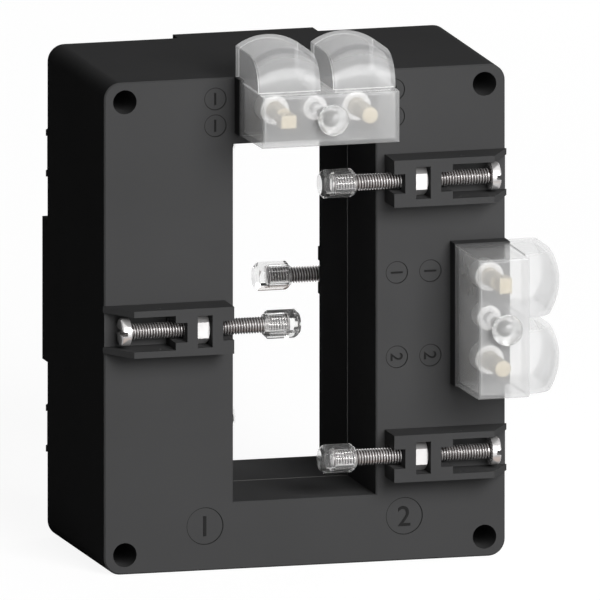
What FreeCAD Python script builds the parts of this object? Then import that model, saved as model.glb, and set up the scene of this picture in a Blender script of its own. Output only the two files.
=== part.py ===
import FreeCAD, Part
import math
import os
import re
import Sketcher

# Current transformer for flat busbars, laid out in millimetres.
# X runs to the right, Y to the back and Z up. The origin is the centre of the housing's bottom face.
# A bar passes through the window along Y, and six cross screws hold it there, three at each face.

SIZES = {
    # Moulded housing, two half shells that meet at Y = 0
    "body_width": 146.0,
    "body_depth": 76.0,
    "body_height": 176.0,
    "corner_radius": 6.0,
    "shell_wall": 2.5,
    "edge_bevel": 0.5,
    "parting_bevel": 0.3,
    "window_width": 52.0,
    "window_height": 128.0,
    # Fixing holes through the four corners, each in a moulded sleeve that runs from face to face
    "fixing_diameter": 8.6,
    "fixing_side_inset": 7.5,
    "fixing_end_inset": 7.0,
    "sleeve_wall": 1.8,
    # Brackets for the clamp screws. Reaches along a bracket count from the housing's side face inwards.
    "bracket_width": 16.8,
    "bracket_rise": 12.9,
    "bracket_overhang": 0.5,
    "bracket_bevel_end": 7.4,
    "bracket_arm": 2.25,
    "channel_end": 22.55,
    "outer_slot_length": 4.25,
    "outer_web": 3.75,
    "inner_web": 3.9,
    "inner_slot_length": 4.0,
    "slot_width": 7.0,
    "slot_floor": 1.8,
    "web_hole_clearance": 0.3,
    "wire_hole_diameter": 1.2,
    "wire_hole_reach": 18.2,
    "wire_hole_rise": 9.0,
    "clamp_spacing": 49.2,
    # Clamp screws with a slotted cheese head, their nuts and their insulating caps
    "thread_diameter": 5.9,
    "thread_fit": 0.05,
    "screw_rise": 5.6,
    "head_setback": 4.1,
    "head_diameter": 10.0,
    "head_height": 3.2,
    "head_bevel": 0.4,
    "driver_slot_width": 1.6,
    "driver_slot_depth": 1.7,
    "screw_length": 58.1,
    "screw_tip_bevel": 0.8,
    "nut_flats": 9.8,
    "nut_thickness": 5.0,
    "nut_bevel": 0.2,
    "nut_bevel_angle": 30.0,
    "nut_clearance": 0.2,
    "cap_flats": 9.0,
    "cap_length": 13.0,
    "cap_end_wall": 3.7,
    "cap_end_gap": 0.1,
    "cap_bevel": 0.9,
    "cap_bevel_angle": 45.0,
    # Terminal seats, moulded on both faces at the top edge and at one side edge
    "seat_length": 51.0,
    "seat_width": 20.0,
    "seat_rise": 6.5,
    # Clear cover over each pair of terminals, with two wire hoods over the housing's edge
    "cover_length": 50.0,
    "cover_width": 19.3,
    "cover_draft": 0.6,
    "cover_depth": 29.0,
    "cover_wall": 1.3,
    "cover_edge_round": 0.8,
    "cover_setback": 0.6,
    "hood_width": 22.7,
    "hood_side_height": 11.2,
    "hood_crown_height": 14.7,
    "hood_back": 0.5,
    "hood_shoulder": 16.0,
    "hood_front": 29.5,
    "hood_fall": 2.3,
    # Terminals under the covers. Depths count forwards from the housing's face.
    "terminal_spacing": 29.8,
    "terminal_inset": 9.7,
    "tail_diameter": 4.0,
    "tail_depth": 4.5,
    "tail_fit": 0.05,
    "collar_diameter": 10.6,
    "collar_height": 8.5,
    "collar_bevel": 0.5,
    "stud_diameter": 6.0,
    "stud_reach": 33.0,
    "stud_bevel": 0.5,
    "cage_width": 5.6,
    "cage_height": 4.6,
    "cage_depth": 6.8,
    "cage_wall": 0.8,
    "cage_reach": 33.6,
    "cage_shift": 0.8,
    "spigot_diameter": 2.0,
    # Seal screw through the middle of each cover, and the socket that it goes into
    "socket_diameter": 9.0,
    "socket_height": 8.1,
    "socket_root_diameter": 5.0,
    "socket_root_depth": 4.5,
    "socket_floor": 1.5,
    "seal_diameter": 4.0,
    "seal_fit": 0.05,
    "seal_hole_clearance": 0.15,
    "seal_engagement": 6.5,
    "seal_head_diameter": 11.2,
    "seal_head_half_height": 4.4,
    "seal_head_lift": 3.1,
    # Recessed discs for the terminal marks
    "small_mark_diameter": 8.1,
    "large_mark_diameter": 13.4,
    "mark_depth": 0.35,
    "top_mark_offset": 32.5,
    "top_mark_inset": 7.5,
    "top_mark_pitch": 9.6,
    "side_mark_spacing": 30.2,
    "side_mark_inset": 27.2,
    "side_mark_pitch": 12.2,
    "large_mark_offset": 36.3,
    "large_mark_height": 15.9,
    # Core, windings and leads inside the housing
    "core_face_gap": 15.0,
    "core_round": 5.0,
    "core_rest_gap": 0.1,
    "core_rest_side": 9.0,
    "winding_gap": 0.3,
    "winding_build": 8.2,
    "winding_length": 120.0,
    "winding_round": 4.0,
    "lead_diameter": 1.6,
    "lead_bend": 6.0,
    "lead_gap": 0.1,
}

FULL_TURN = 360
HALF_TURN = 180
QUARTER_TURN = 90
HEX_SIDES = 6
HEX_TURN = 60
HOOD_STATIONS = 9
HOOD_COLUMNS = 9
TINY = 1e-6
WORD = re.compile(r"[a-z][a-z_]+")
X_AXIS = FreeCAD.Vector(1, 0, 0)
Y_AXIS = FreeCAD.Vector(0, 1, 0)
Z_AXIS = FreeCAD.Vector(0, 0, 1)
ORIGIN = FreeCAD.Vector(0, 0, 0)
NO_TURN = FreeCAD.Rotation()

document = FreeCAD.newDocument("current_transformer")
sheet = document.addObject("Spreadsheet::Sheet", "sizes")
for row, (size_name, size_value) in enumerate(SIZES.items(), start=1):
    sheet.set(f"A{row}", size_name)
    sheet.set(f"B{row}", str(size_value))
    sheet.setAlias(f"B{row}", size_name)
document.recompute()

sub_parts = []


def size(name):
    """One size from the sheet, as a number."""
    return float(sheet.get(name))


def bound(text):
    """The same expression with every size name pointing at the sheet."""
    return WORD.sub(lambda word: f"sizes.{word[0]}" if word[0] in SIZES else word[0], text)


class Frame:
    """A place and a quarter-turn direction in the assembly, written with size names."""

    def __init__(self, x="0", y="0", z="0", turn=NO_TURN):
        self.origin = (x, y, z)
        self.turn = turn

    def point(self, x="0", y="0", z="0"):
        """Where a point of this frame lies in the assembly, as three expressions."""
        axes = [self.turn.multVec(axis) for axis in (X_AXIS, Y_AXIS, Z_AXIS)]
        world = []
        for index, start in enumerate(self.origin):
            terms = [f"({start})"]
            for axis, text in zip(axes, (x, y, z)):
                share = round(axis[index])
                if share:
                    terms.append(f"({share}) * ({text})")
            world.append(" + ".join(terms))
        return world

    def place(self, item, x="0", y="0", z="0", turn=NO_TURN):
        """Puts an object at a point of this frame, turned within it."""
        item.Placement = FreeCAD.Placement(ORIGIN, self.turn.multiply(turn))
        for letter, text in zip("xyz", self.point(x, y, z)):
            item.setExpression(f"Placement.Base.{letter}", bound(text))


# A piece that is turned about its own Z axis points forwards (along -Y), or along X.
FORWARDS = FreeCAD.Rotation(X_AXIS, QUARTER_TURN)
ALONG_X = FreeCAD.Rotation(Y_AXIS, QUARTER_TURN)


def new_body(label):
    """An empty body for one sub-part."""
    body = document.addObject("PartDesign::Body", label)
    body.Label = label
    sub_parts.append(body)
    return body


def new_shape(label, shape):
    """A sub-part whose shape is worked out from the sheet's values."""
    item = document.addObject("Part::Feature", label)
    item.Label = label
    item.Shape = shape
    sub_parts.append(item)
    return item


def sketch(body, name, plane, outlines=(), circles=(), lift="0"):
    """Straight-sided outlines and circles on one of the body's planes, lifted along its normal."""
    item = body.newObject("Sketcher::SketchObject", name)
    support = [feature for feature in body.Origin.OriginFeatures if feature.Role == plane][0]
    item.AttachmentSupport = [(support, "")]
    item.MapMode = "FlatFace"
    item.setExpression("AttachmentOffset.Base.z", bound(lift))
    for outline in outlines:
        draw_outline(item, outline)
    for circle in circles:
        draw_circle(item, *circle)
    return item


def tie(item, index, place, x, y):
    """Ties one point of a sketch to the origin by two distances."""
    for kind, text in (("DistanceX", x), ("DistanceY", y)):
        constraint = item.addConstraint(Sketcher.Constraint(kind, -1, 1, index, place, 1.0))
        item.setExpression(f"Constraints[{constraint}]", bound(text))


def draw_outline(item, corners):
    """A closed outline of straight sides, started as an even polygon that the distances pull to size."""
    first = item.GeometryCount
    count = len(corners)
    angles = [2 * math.pi * step / count for step in range(count)]
    start = [FreeCAD.Vector(math.cos(angle), math.sin(angle), 0) for angle in angles]
    for step in range(count):
        item.addGeometry(Part.LineSegment(start[step], start[(step + 1) % count]))
    for step, (x, y) in enumerate(corners):
        following = first + (step + 1) % count
        item.addConstraint(Sketcher.Constraint("Coincident", first + step, 2, following, 1))
        tie(item, first + step, 1, x, y)


def draw_circle(item, x, y, diameter):
    """A circle placed by its centre."""
    index = item.addGeometry(Part.Circle(ORIGIN, Z_AXIS, 1.0))
    tie(item, index, 3, x, y)
    constraint = item.addConstraint(Sketcher.Constraint("Radius", index, 1.0))
    item.setExpression(f"Constraints[{constraint}]", bound(f"({diameter}) / 2"))


def rectangle(x_low, x_high, y_low, y_high):
    """The four corners of an upright rectangle."""
    return [(x_low, y_low), (x_high, y_low), (x_high, y_high), (x_low, y_high)]


def centred(width, height, x="0", y="0"):
    """The four corners of a rectangle about a point."""
    return rectangle(
        f"{x} - ({width}) / 2", f"{x} + ({width}) / 2", f"{y} - ({height}) / 2", f"{y} + ({height}) / 2"
    )


def pad(body, name, profile, length, backwards=False, both_ways=False):
    """Adds the profile's material along the plane's normal."""
    feature = body.newObject("PartDesign::Pad", name)
    feature.Profile = profile
    feature.setExpression("Length", bound(length))
    feature.Reversed = backwards
    feature.SideType = "Symmetric" if both_ways else "One side"
    return feature


def require_cut(body, feature):
    """Stops the build where a cut has removed nothing."""
    before = feature.BaseFeature.Shape.Volume
    if not feature.Shape.Volume < before - TINY:
        raise RuntimeError(f"{body.Label}: {feature.Label} cuts nothing")


def pocket(body, name, profile, length, backwards=False, both_ways=False):
    """Cuts the profile against the plane's normal, or along it when turned backwards."""
    feature = body.newObject("PartDesign::Pocket", name)
    feature.Profile = profile
    feature.setExpression("Length", bound(length))
    feature.Reversed = backwards
    feature.SideType = "Symmetric" if both_ways else "One side"
    document.recompute()
    require_cut(body, feature)
    return feature


def turned(body, name, corners, groove=False):
    """A profile of radius and height, turned once about the body's Z axis."""
    profile = sketch(body, f"{name}_profile", "XZ_Plane", outlines=[corners])
    kind = "PartDesign::Groove" if groove else "PartDesign::Revolution"
    feature = body.newObject(kind, name)
    feature.Profile = profile
    feature.ReferenceAxis = (profile, ["V_Axis"])
    feature.Angle = FULL_TURN
    document.recompute()
    if groove:
        require_cut(body, feature)
    return feature


def dress(body, name, kind, base, chosen, amount):
    """A fillet or chamfer on the edges of the base feature that a test picks."""
    document.recompute()
    names = [f"Edge{n}" for n, edge in enumerate(base.Shape.Edges, start=1) if chosen(edge)]
    if not names:
        raise RuntimeError(f"{body.Label}: {name} finds no edge")
    feature = body.newObject(f"PartDesign::{kind}", name)
    feature.Base = (base, names)
    feature.setExpression("Radius" if kind == "Fillet" else "Size", bound(amount))
    return feature


def near(first, second):
    """Whether two numbers are the same length."""
    return abs(first - second) < TINY


def lies_along(edge, axis):
    """Whether a straight edge runs along an axis."""
    if len(edge.Vertexes) != 2:
        return False
    step = edge.Vertexes[1].Point - edge.Vertexes[0].Point
    return near(step.Length, edge.Length) and near(abs(step.dot(axis)), step.Length)


def lies_at_depth(edge, depth):
    """Whether an edge lies in the plane of one Y value."""
    return all(near(vertex.Y, depth) for vertex in edge.Vertexes)


# Half shells

LEFT, RIGHT = -1, 1


def reach(side, distance):
    """The X of a point that lies a distance inwards from the left or right side face."""
    return f"({side}) * (body_width / 2 - ({distance}))"


def clamp_heights(side):
    """One bracket at the middle of the left side, and one above and one below it on the right."""
    if side == LEFT:
        return {"middle": "body_height / 2"}
    return {"upper": "body_height / 2 + clamp_spacing", "lower": "body_height / 2 - clamp_spacing"}


BRACKETS = [(side, name, z) for side in (LEFT, RIGHT) for name, z in clamp_heights(side).items()]
FACE = "body_depth / 2"
BRACKET_FRONT = f"{FACE} + bracket_rise"
OUTER_SLOT_END = "channel_end + outer_slot_length"
NUT_START = f"{OUTER_SLOT_END} + outer_web"
NUT_END = f"{NUT_START} + nut_thickness + 2 * nut_clearance"
INNER_SLOT_START = f"{NUT_END} + inner_web"
BRACKET_END = f"{INNER_SLOT_START} + inner_slot_length"
NUT_CORNERS = f"nut_flats / cos({HEX_TURN} / 2)"
TERMINALS = {"one": "-terminal_spacing / 2", "two": "terminal_spacing / 2"}
SEAT_TOP = "body_height - terminal_inset"
SEAT_SIDE = "body_width / 2 - terminal_inset"
CORE_WIDTH = "(body_depth - 2 * core_face_gap)"
CORE_INSET = "(body_width - window_width) / 4"
CORE_CENTRE = f"(body_width / 2 - {CORE_INSET})"
LIMB_HEIGHT = "(body_height - window_height) / 4"
CORE_BUILD = LIMB_HEIGHT


def fixing_places():
    """The X and Z of the four corner holes."""
    side = "(body_width / 2 - fixing_side_inset)"
    levels = ("fixing_end_inset", "body_height - fixing_end_inset")
    return [(x, z) for x in (f"-{side}", side) for z in levels]


def rest_places():
    """The X and Z of the four posts that the core rests on."""
    levels = (LIMB_HEIGHT, f"body_height - {LIMB_HEIGHT}")
    return [(x, z) for x in (f"-{CORE_CENTRE}", CORE_CENTRE) for z in levels]


def terminal_places():
    """The X and Z of the four terminals on the front face."""
    top = [(x, SEAT_TOP) for x in TERMINALS.values()]
    return top + [(SEAT_SIDE, f"body_height / 2 + {z}") for z in TERMINALS.values()]


def add_hollow(body):
    """The outer block with its window, rounded corners, bevelled rims and hollow inside."""
    middle = "body_height / 2"
    block = sketch(body, "block_profile", "XZ_Plane", [centred("body_width", "body_height", y=middle)])
    pad(body, "block", block, FACE)
    gap = centred("window_width", "window_height", y=middle)
    opening = sketch(body, "window_profile", "XZ_Plane", [gap], lift=FACE)
    window = pocket(body, "window", opening, FACE)
    half = size("body_width") / 2
    corners = dress(
        body, "corners", "Fillet", window,
        lambda edge: lies_along(edge, Y_AXIS) and near(abs(edge.CenterOfMass.x), half), "corner_radius",
    )
    front = -size("body_depth") / 2
    rims = dress(body, "rims", "Chamfer", corners, lambda edge: lies_at_depth(edge, front), "edge_bevel")
    window_half = size("window_width") / 2
    dress(
        body, "parting_edge", "Chamfer", rims,
        lambda edge: lies_at_depth(edge, 0) and abs(edge.CenterOfMass.x) < window_half + TINY
        and abs(edge.CenterOfMass.z - size("body_height") / 2) < size("window_height") / 2 + TINY,
        "parting_bevel",
    )
    outer = centred("body_width - 2 * shell_wall", "body_height - 2 * shell_wall", y=middle)
    inner = centred("window_width + 2 * shell_wall", "window_height + 2 * shell_wall", y=middle)
    hollow = sketch(body, "hollow_profile", "XZ_Plane", [outer, inner])
    pocket(body, "hollow", hollow, f"{FACE} - shell_wall", backwards=True)


def add_inside(body):
    """The sleeves round the corner holes and the posts that hold the core."""
    outside = "fixing_diameter + 2 * sleeve_wall"
    rings = [(x, z, outside) for x, z in fixing_places()]
    sleeves = sketch(body, "sleeve_profile", "XZ_Plane", circles=rings)
    pad(body, "sleeves", sleeves, f"{FACE} - edge_bevel")
    posts = sketch(
        body, "post_profile", "XZ_Plane",
        [centred("core_rest_side", "core_rest_side", x, z) for x, z in rest_places()],
        lift=f"{CORE_WIDTH} / 2 + core_rest_gap",
    )
    pad(body, "posts", posts, f"{FACE} - shell_wall / 2 - {CORE_WIDTH} / 2 - core_rest_gap")


def add_brackets(body):
    """The three clamp brackets: two arms, two webs, a pocket for the nut and a way for the screw."""
    for side, name, z in BRACKETS:
        foot = f"-({FACE} - edge_bevel)"
        top = f"-({BRACKET_FRONT})"
        outline = [
            (reach(side, "0"), foot),
            (reach(side, "0"), f"-{FACE}"),
            (reach(side, "-bracket_overhang"), f"-{FACE}"),
            (reach(side, "bracket_bevel_end"), top),
            (reach(side, BRACKET_END), top),
            (reach(side, BRACKET_END), foot),
        ]
        profile = sketch(body, f"bracket_{name}_profile", "XY_Plane", [outline], lift=z)
        pad(body, f"bracket_{name}", profile, "bracket_width", both_ways=True)
    channels, slots, nut_ways = [], [], []
    nut_width = f"{NUT_CORNERS} + nut_clearance"
    for side, name, z in BRACKETS:
        channel = (reach(side, "-bracket_overhang"), reach(side, "channel_end"))
        channels.append(across(channel, z, "bracket_width - 2 * bracket_arm"))
        slots.append(across((reach(side, "channel_end"), reach(side, OUTER_SLOT_END)), z, "slot_width"))
        slots.append(across((reach(side, INNER_SLOT_START), reach(side, BRACKET_END)), z, "slot_width"))
        nut_ways.append(across((reach(side, NUT_START), reach(side, NUT_END)), z, nut_width))
    channel_cut = sketch(body, "channel_profile", "XZ_Plane", channels, lift=BRACKET_FRONT)
    pocket(body, "channels", channel_cut, "bracket_rise")
    slot_cut = sketch(body, "slot_profile", "XZ_Plane", slots, lift=BRACKET_FRONT)
    pocket(body, "slots", slot_cut, "bracket_rise - slot_floor")
    nut_cut = sketch(body, "nut_way_profile", "XZ_Plane", nut_ways, lift=BRACKET_FRONT)
    pocket(body, "nut_ways", nut_cut, "bracket_rise - screw_rise + nut_flats / 2 + nut_clearance")
    across_way = "thread_diameter + 2 * (thread_fit + web_hole_clearance)"
    for side in (LEFT, RIGHT):
        way_name = "screw_way_left" if side == LEFT else "screw_way_right"
        holes = [(f"-({FACE} + screw_rise)", z, across_way) for z in clamp_heights(side).values()]
        way = sketch(body, f"{way_name}_profile", "YZ_Plane", circles=holes, lift=reach(side, BRACKET_END))
        pocket(body, way_name, way, f"{BRACKET_END} - channel_end", backwards=side == RIGHT)
    rise = f"-({FACE} + wire_hole_rise)"
    wire_holes = [(reach(side, "wire_hole_reach"), rise, "wire_hole_diameter") for side in (LEFT, RIGHT)]
    wires = sketch(body, "wire_hole_profile", "XY_Plane", circles=wire_holes, lift="body_height / 2")
    pocket(body, "wire_holes", wires, "body_height", both_ways=True)


def across(ends, z, width):
    """A rectangle between two X values, centred on a height."""
    low, high = ends
    return rectangle(low, high, f"{z} - ({width}) / 2", f"{z} + ({width}) / 2")


def add_seats(body):
    """The flat seats that the terminal covers stand on, at the top edge and at the right edge."""
    top = rectangle("-seat_length / 2", "seat_length / 2", "body_height - seat_width", "body_height")
    side = across(("body_width / 2 - seat_width", "body_width / 2"), "body_height / 2", "seat_length")
    seats = sketch(body, "seat_profile", "XZ_Plane", [top, side], lift=f"{FACE} - edge_bevel")
    pad(body, "seats", seats, "seat_rise + edge_bevel")


def add_terminal_holes(body):
    """Holes for the terminals' tails, and a blind one in each seat for the seal socket."""
    face = f"{FACE} + seat_rise"
    tails = [(x, z, "tail_diameter + 2 * tail_fit") for x, z in terminal_places()]
    tail_cut = sketch(body, "tail_profile", "XZ_Plane", circles=tails, lift=face)
    pocket(body, "tail_holes", tail_cut, "seat_rise + shell_wall")
    middle = [("0", SEAT_TOP), (SEAT_SIDE, "body_height / 2")]
    roots = [(x, z, "socket_root_diameter") for x, z in middle]
    root_cut = sketch(body, "socket_profile", "XZ_Plane", circles=roots, lift=face)
    pocket(body, "socket_holes", root_cut, "socket_root_depth")


def add_marks(body):
    """The recessed discs that hold the terminal marks."""
    small = []
    for way in (-1, 1):
        for step in (0, 1):
            row = f"body_height - top_mark_inset - {step} * top_mark_pitch"
            small.append((f"({way}) * top_mark_offset", row))
            column = f"body_width / 2 - side_mark_inset - {step} * side_mark_pitch"
            small.append((column, f"body_height / 2 + ({way}) * side_mark_spacing / 2"))
    discs = [(x, z, "small_mark_diameter") for x, z in small]
    discs += [(f"({way}) * large_mark_offset", "large_mark_height", "large_mark_diameter") for way in (-1, 1)]
    profile = sketch(body, "mark_profile", "XZ_Plane", circles=discs, lift=FACE)
    pocket(body, "marks", profile, "mark_depth")


def add_half_shell(label, turn, terminals):
    """One half of the housing. Both halves come from one mould, and the rear one is turned half round."""
    body = new_body(label)
    add_hollow(body)
    add_inside(body)
    add_seats(body)
    add_brackets(body)
    holes = [(x, z, "fixing_diameter") for x, z in fixing_places()]
    fixing = sketch(body, "fixing_profile", "XZ_Plane", circles=holes, lift=FACE)
    pocket(body, "fixing_holes", fixing, FACE)
    add_marks(body)
    if terminals:
        add_terminal_holes(body)
    Frame(turn=turn).place(body)


# Core, windings and leads

def add_core():
    """The strip-wound core, a closed rectangular ring."""
    body = new_body("core")
    middle = "body_height / 2"
    wide, tall = f"2 * {CORE_CENTRE}", f"body_height - 2 * {LIMB_HEIGHT}"
    outer = centred(f"{wide} + {CORE_BUILD}", f"{tall} + {CORE_BUILD}", y=middle)
    inner = centred(f"{wide} - {CORE_BUILD}", f"{tall} - {CORE_BUILD}", y=middle)
    profile = sketch(body, "ring_profile", "XZ_Plane", [outer, inner])
    ring = pad(body, "ring", profile, CORE_WIDTH, both_ways=True)
    document.recompute()
    half = ring.Shape.BoundBox.XMax
    dress(
        body, "bends", "Fillet", ring,
        lambda edge: lies_along(edge, Y_AXIS) and near(abs(edge.CenterOfMass.x), half), "core_round",
    )


def add_winding(label, side):
    """One coil of the secondary winding, a sleeve round a side limb of the core."""
    body = new_body(label)
    centre = f"({side}) * {CORE_CENTRE}"
    inner = centred(f"{CORE_BUILD} + 2 * winding_gap", f"{CORE_WIDTH} + 2 * winding_gap", x=centre)
    over = "2 * (winding_gap + winding_build)"
    outer = centred(f"{CORE_BUILD} + {over}", f"{CORE_WIDTH} + {over}", x=centre)
    profile = sketch(body, "coil_profile", "XY_Plane", [outer, inner], lift="body_height / 2")
    coil = pad(body, "coil", profile, "winding_length", both_ways=True)
    document.recompute()
    deep = coil.Shape.BoundBox.YMax
    dress(
        body, "bends", "Fillet", coil,
        lambda edge: lies_along(edge, Z_AXIS) and near(abs(edge.CenterOfMass.y), deep), "winding_round",
    )


def tube(points, diameter, bend):
    """A round tube along straight runs in one plane, joined by arcs of one radius."""
    edges = []
    start = points[0]
    for before, corner, after in zip(points, points[1:], points[2:]):
        inward = (before - corner).normalize()
        onward = (after - corner).normalize()
        half_angle = inward.getAngle(onward) / 2
        first = corner + inward * (bend / math.tan(half_angle))
        last = corner + onward * (bend / math.tan(half_angle))
        bisector = (inward + onward).normalize()
        middle = corner + bisector * (bend / math.sin(half_angle) - bend)
        edges.append(Part.LineSegment(start, first).toShape())
        edges.append(Part.Arc(first, middle, last).toShape())
        start = last
    edges.append(Part.LineSegment(start, points[-1]).toShape())
    ring = Part.Wire(Part.Circle(points[0], points[1] - points[0], diameter / 2).toShape())
    return Part.Wire(edges).makePipeShell([ring], True, False)


def add_leads():
    """The leads from each terminal's tail to the windings, and the link between the two windings."""
    half_width, half_depth, height = size("body_width") / 2, size("body_depth") / 2, size("body_height")
    radius = size("lead_diameter") / 2
    core_x = half_width - (size("body_width") - size("window_width")) / 4
    core_half = half_depth - size("core_face_gap")
    limb = (height - size("window_height")) / 4
    core_half_build = limb / 2
    coil_front = core_half + size("winding_gap") + size("winding_build")
    lane = -(core_half + size("winding_gap") + size("winding_build") / 2 + radius)
    inner_x = core_x - core_half_build - size("winding_gap") - size("winding_build") / 2
    coil_top = height / 2 + size("winding_length") / 2 + size("lead_gap")
    coil_bottom = height / 2 - size("winding_length") / 2 - size("lead_gap")
    tail_side = size("tail_diameter") / 2 + size("lead_gap")
    tail_end = -(half_depth - size("tail_depth"))
    vector = FreeCAD.Vector
    for word, side in (("one", LEFT), ("two", RIGHT)):
        start = side * (size("terminal_spacing") / 2 + tail_side)
        top = height - size("terminal_inset")
        corner = vector(side * inner_x, lane, top)
        run = [vector(start, lane, top), corner, vector(side * inner_x, lane, coil_top)]
        new_shape(f"lead_top_{word}", tube(run, 2 * radius, size("lead_bend")))
        level = height / 2 - side * size("terminal_spacing") / 2
        foot = vector(half_width - size("terminal_inset"), tail_end + size("lead_gap"), level)
        short = -coil_front - tail_end - 2 * size("lead_gap")
        stub = Part.makeCylinder(radius, short, foot, Y_AXIS)
        new_shape(f"lead_side_{word}", stub)
    low = [
        vector(-inner_x, lane, coil_bottom), vector(-inner_x, lane, limb),
        vector(inner_x, lane, limb), vector(inner_x, lane, coil_bottom),
    ]
    new_shape("winding_link", tube(low, 2 * radius, size("lead_bend")))


# Clamp screws, nuts and caps. Each set's frame has X along the screw, inwards from the side face.

HEAD_END = "head_setback + head_height"
SCREW_TIP = f"{HEAD_END} + screw_length"
CAP_END = f"{SCREW_TIP} + cap_end_gap + cap_end_wall"


def clamp_frames():
    """The six clamp sets: three on the front face, and the same three turned half round on the rear."""
    half = "body_width / 2"
    for side, name, z in BRACKETS:
        inwards = NO_TURN if side == LEFT else FreeCAD.Rotation(Y_AXIS, HALF_TURN)
        yield f"front_{name}", Frame(f"({side}) * {half}", f"-{FACE}", z, inwards)
        about = FreeCAD.Rotation(Z_AXIS, HALF_TURN)
        yield f"rear_{name}", Frame(f"({-side}) * {half}", FACE, z, about.multiply(inwards))


def hexagon(flats):
    """The corners of a hexagon with two of its flats facing the housing."""
    corner = f"({flats}) / 2 / cos({HEX_TURN} / 2)"
    angles = [HEX_TURN * step for step in range(HEX_SIDES)]
    return [(f"{corner} * cos({angle})", f"{corner} * sin({angle})") for angle in angles]


def corner_bevel(flats, inset, angle, level, way):
    """A triangle of radius and height that turns a hexagon's corners off at one end."""
    start = f"({flats}) / 2 - {inset}"
    return [
        (start, level),
        (flats, level),
        (flats, f"{level} - ({way}) * ({flats} - ({start})) * tan({angle})"),
    ]


def add_screw(name, frame):
    """A fully threaded clamp screw with a slotted cheese head. Its thread is drawn at the mean diameter."""
    body = new_body(f"clamp_screw_{name}")
    head, rod = "head_diameter / 2", "thread_diameter / 2"
    turned(body, "shape", [
        ("0", "head_setback"),
        (f"{head} - head_bevel", "head_setback"),
        (head, "head_setback + head_bevel"),
        (head, HEAD_END),
        (rod, HEAD_END),
        (rod, f"{SCREW_TIP} - screw_tip_bevel"),
        (f"{rod} - screw_tip_bevel", SCREW_TIP),
        ("0", SCREW_TIP),
    ])
    gap = centred("driver_slot_width", "head_diameter")
    slot = sketch(body, "slot_profile", "XY_Plane", [gap], lift="head_setback")
    pocket(body, "slot", slot, "driver_slot_depth", backwards=True)
    frame.place(body, y="-screw_rise", turn=ALONG_X)


def add_nut(name, frame):
    """The hexagon nut that sits in the bracket's pocket."""
    body = new_body(f"clamp_nut_{name}")
    start = f"{NUT_START} + nut_clearance"
    profile = sketch(
        body, "nut_profile", "XY_Plane", [hexagon("nut_flats")],
        [("0", "0", "thread_diameter + 2 * thread_fit")], lift=start,
    )
    pad(body, "nut", profile, "nut_thickness")
    bevel = ("nut_flats", "nut_bevel", "nut_bevel_angle")
    turned(body, "outer_bevel", corner_bevel(*bevel, start, -1), groove=True)
    turned(body, "inner_bevel", corner_bevel(*bevel, f"{start} + nut_thickness", 1), groove=True)
    frame.place(body, y="-screw_rise", turn=ALONG_X)


def add_cap(name, frame):
    """The clear insulating cap on the screw's tip, blind-bored from its outer end."""
    body = new_body(f"insulating_cap_{name}")
    start = f"{CAP_END} - cap_length"
    profile = sketch(body, "cap_profile", "XY_Plane", [hexagon("cap_flats")], lift=start)
    pad(body, "cap", profile, "cap_length")
    bevel = ("cap_flats", "cap_bevel", "cap_bevel_angle")
    turned(body, "mouth_bevel", corner_bevel(*bevel, start, -1), groove=True)
    turned(body, "nose_bevel", corner_bevel(*bevel, CAP_END, 1), groove=True)
    bore = [("0", "0", "thread_diameter + 2 * thread_fit")]
    way = sketch(body, "bore_profile", "XY_Plane", circles=bore, lift=start)
    pocket(body, "bore", way, "cap_length - cap_end_wall", backwards=True)
    frame.place(body, y="-screw_rise", turn=ALONG_X)


# Terminals and covers. Each bay's frame has X along the cover and Z outwards over the housing's edge.

BAYS = {
    "top": Frame("0", f"-{FACE}", "body_height"),
    "side": Frame("body_width / 2", f"-{FACE}", "body_height / 2", FreeCAD.Rotation(Y_AXIS, QUARTER_TURN)),
}
CAGE_START = "cage_reach - cage_depth"
CAGE_SHIFTS = {"top": "-cage_shift", "side": "cage_shift"}


def add_collar(name, frame, x):
    """The collar that clamps the wire, a bored ring on the seat."""
    body = new_body(f"terminal_collar_{name}")
    outside, top = "collar_diameter / 2", "seat_rise + collar_height"
    inside = "stud_diameter / 2 + tail_fit"
    turned(body, "shape", [
        (inside, "seat_rise"),
        (outside, "seat_rise"),
        (outside, f"{top} - collar_bevel"),
        (f"{outside} - collar_bevel", top),
        (inside, top),
    ])
    frame.place(body, x, z="-terminal_inset", turn=FORWARDS)


def add_stud(name, frame, x, with_cage):
    """The terminal stud, with its tail through the seat. The first of each pair ends in a spigot."""
    body = new_body(f"terminal_stud_{name}")
    radius, tail = "stud_diameter / 2", "tail_diameter / 2"
    end = CAGE_START if with_cage else "stud_reach"
    corners = [
        ("0", "-tail_depth"),
        (tail, "-tail_depth"),
        (tail, "seat_rise"),
        (radius, "seat_rise"),
        (radius, f"{end} - stud_bevel"),
        (f"{radius} - stud_bevel", end),
    ]
    if with_cage:
        spigot = "spigot_diameter / 2"
        corners += [(spigot, end), (spigot, f"{end} + cage_wall"), ("0", f"{end} + cage_wall")]
    else:
        corners += [("0", end)]
    turned(body, "shape", corners)
    frame.place(body, x, z="-terminal_inset", turn=FORWARDS)


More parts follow.
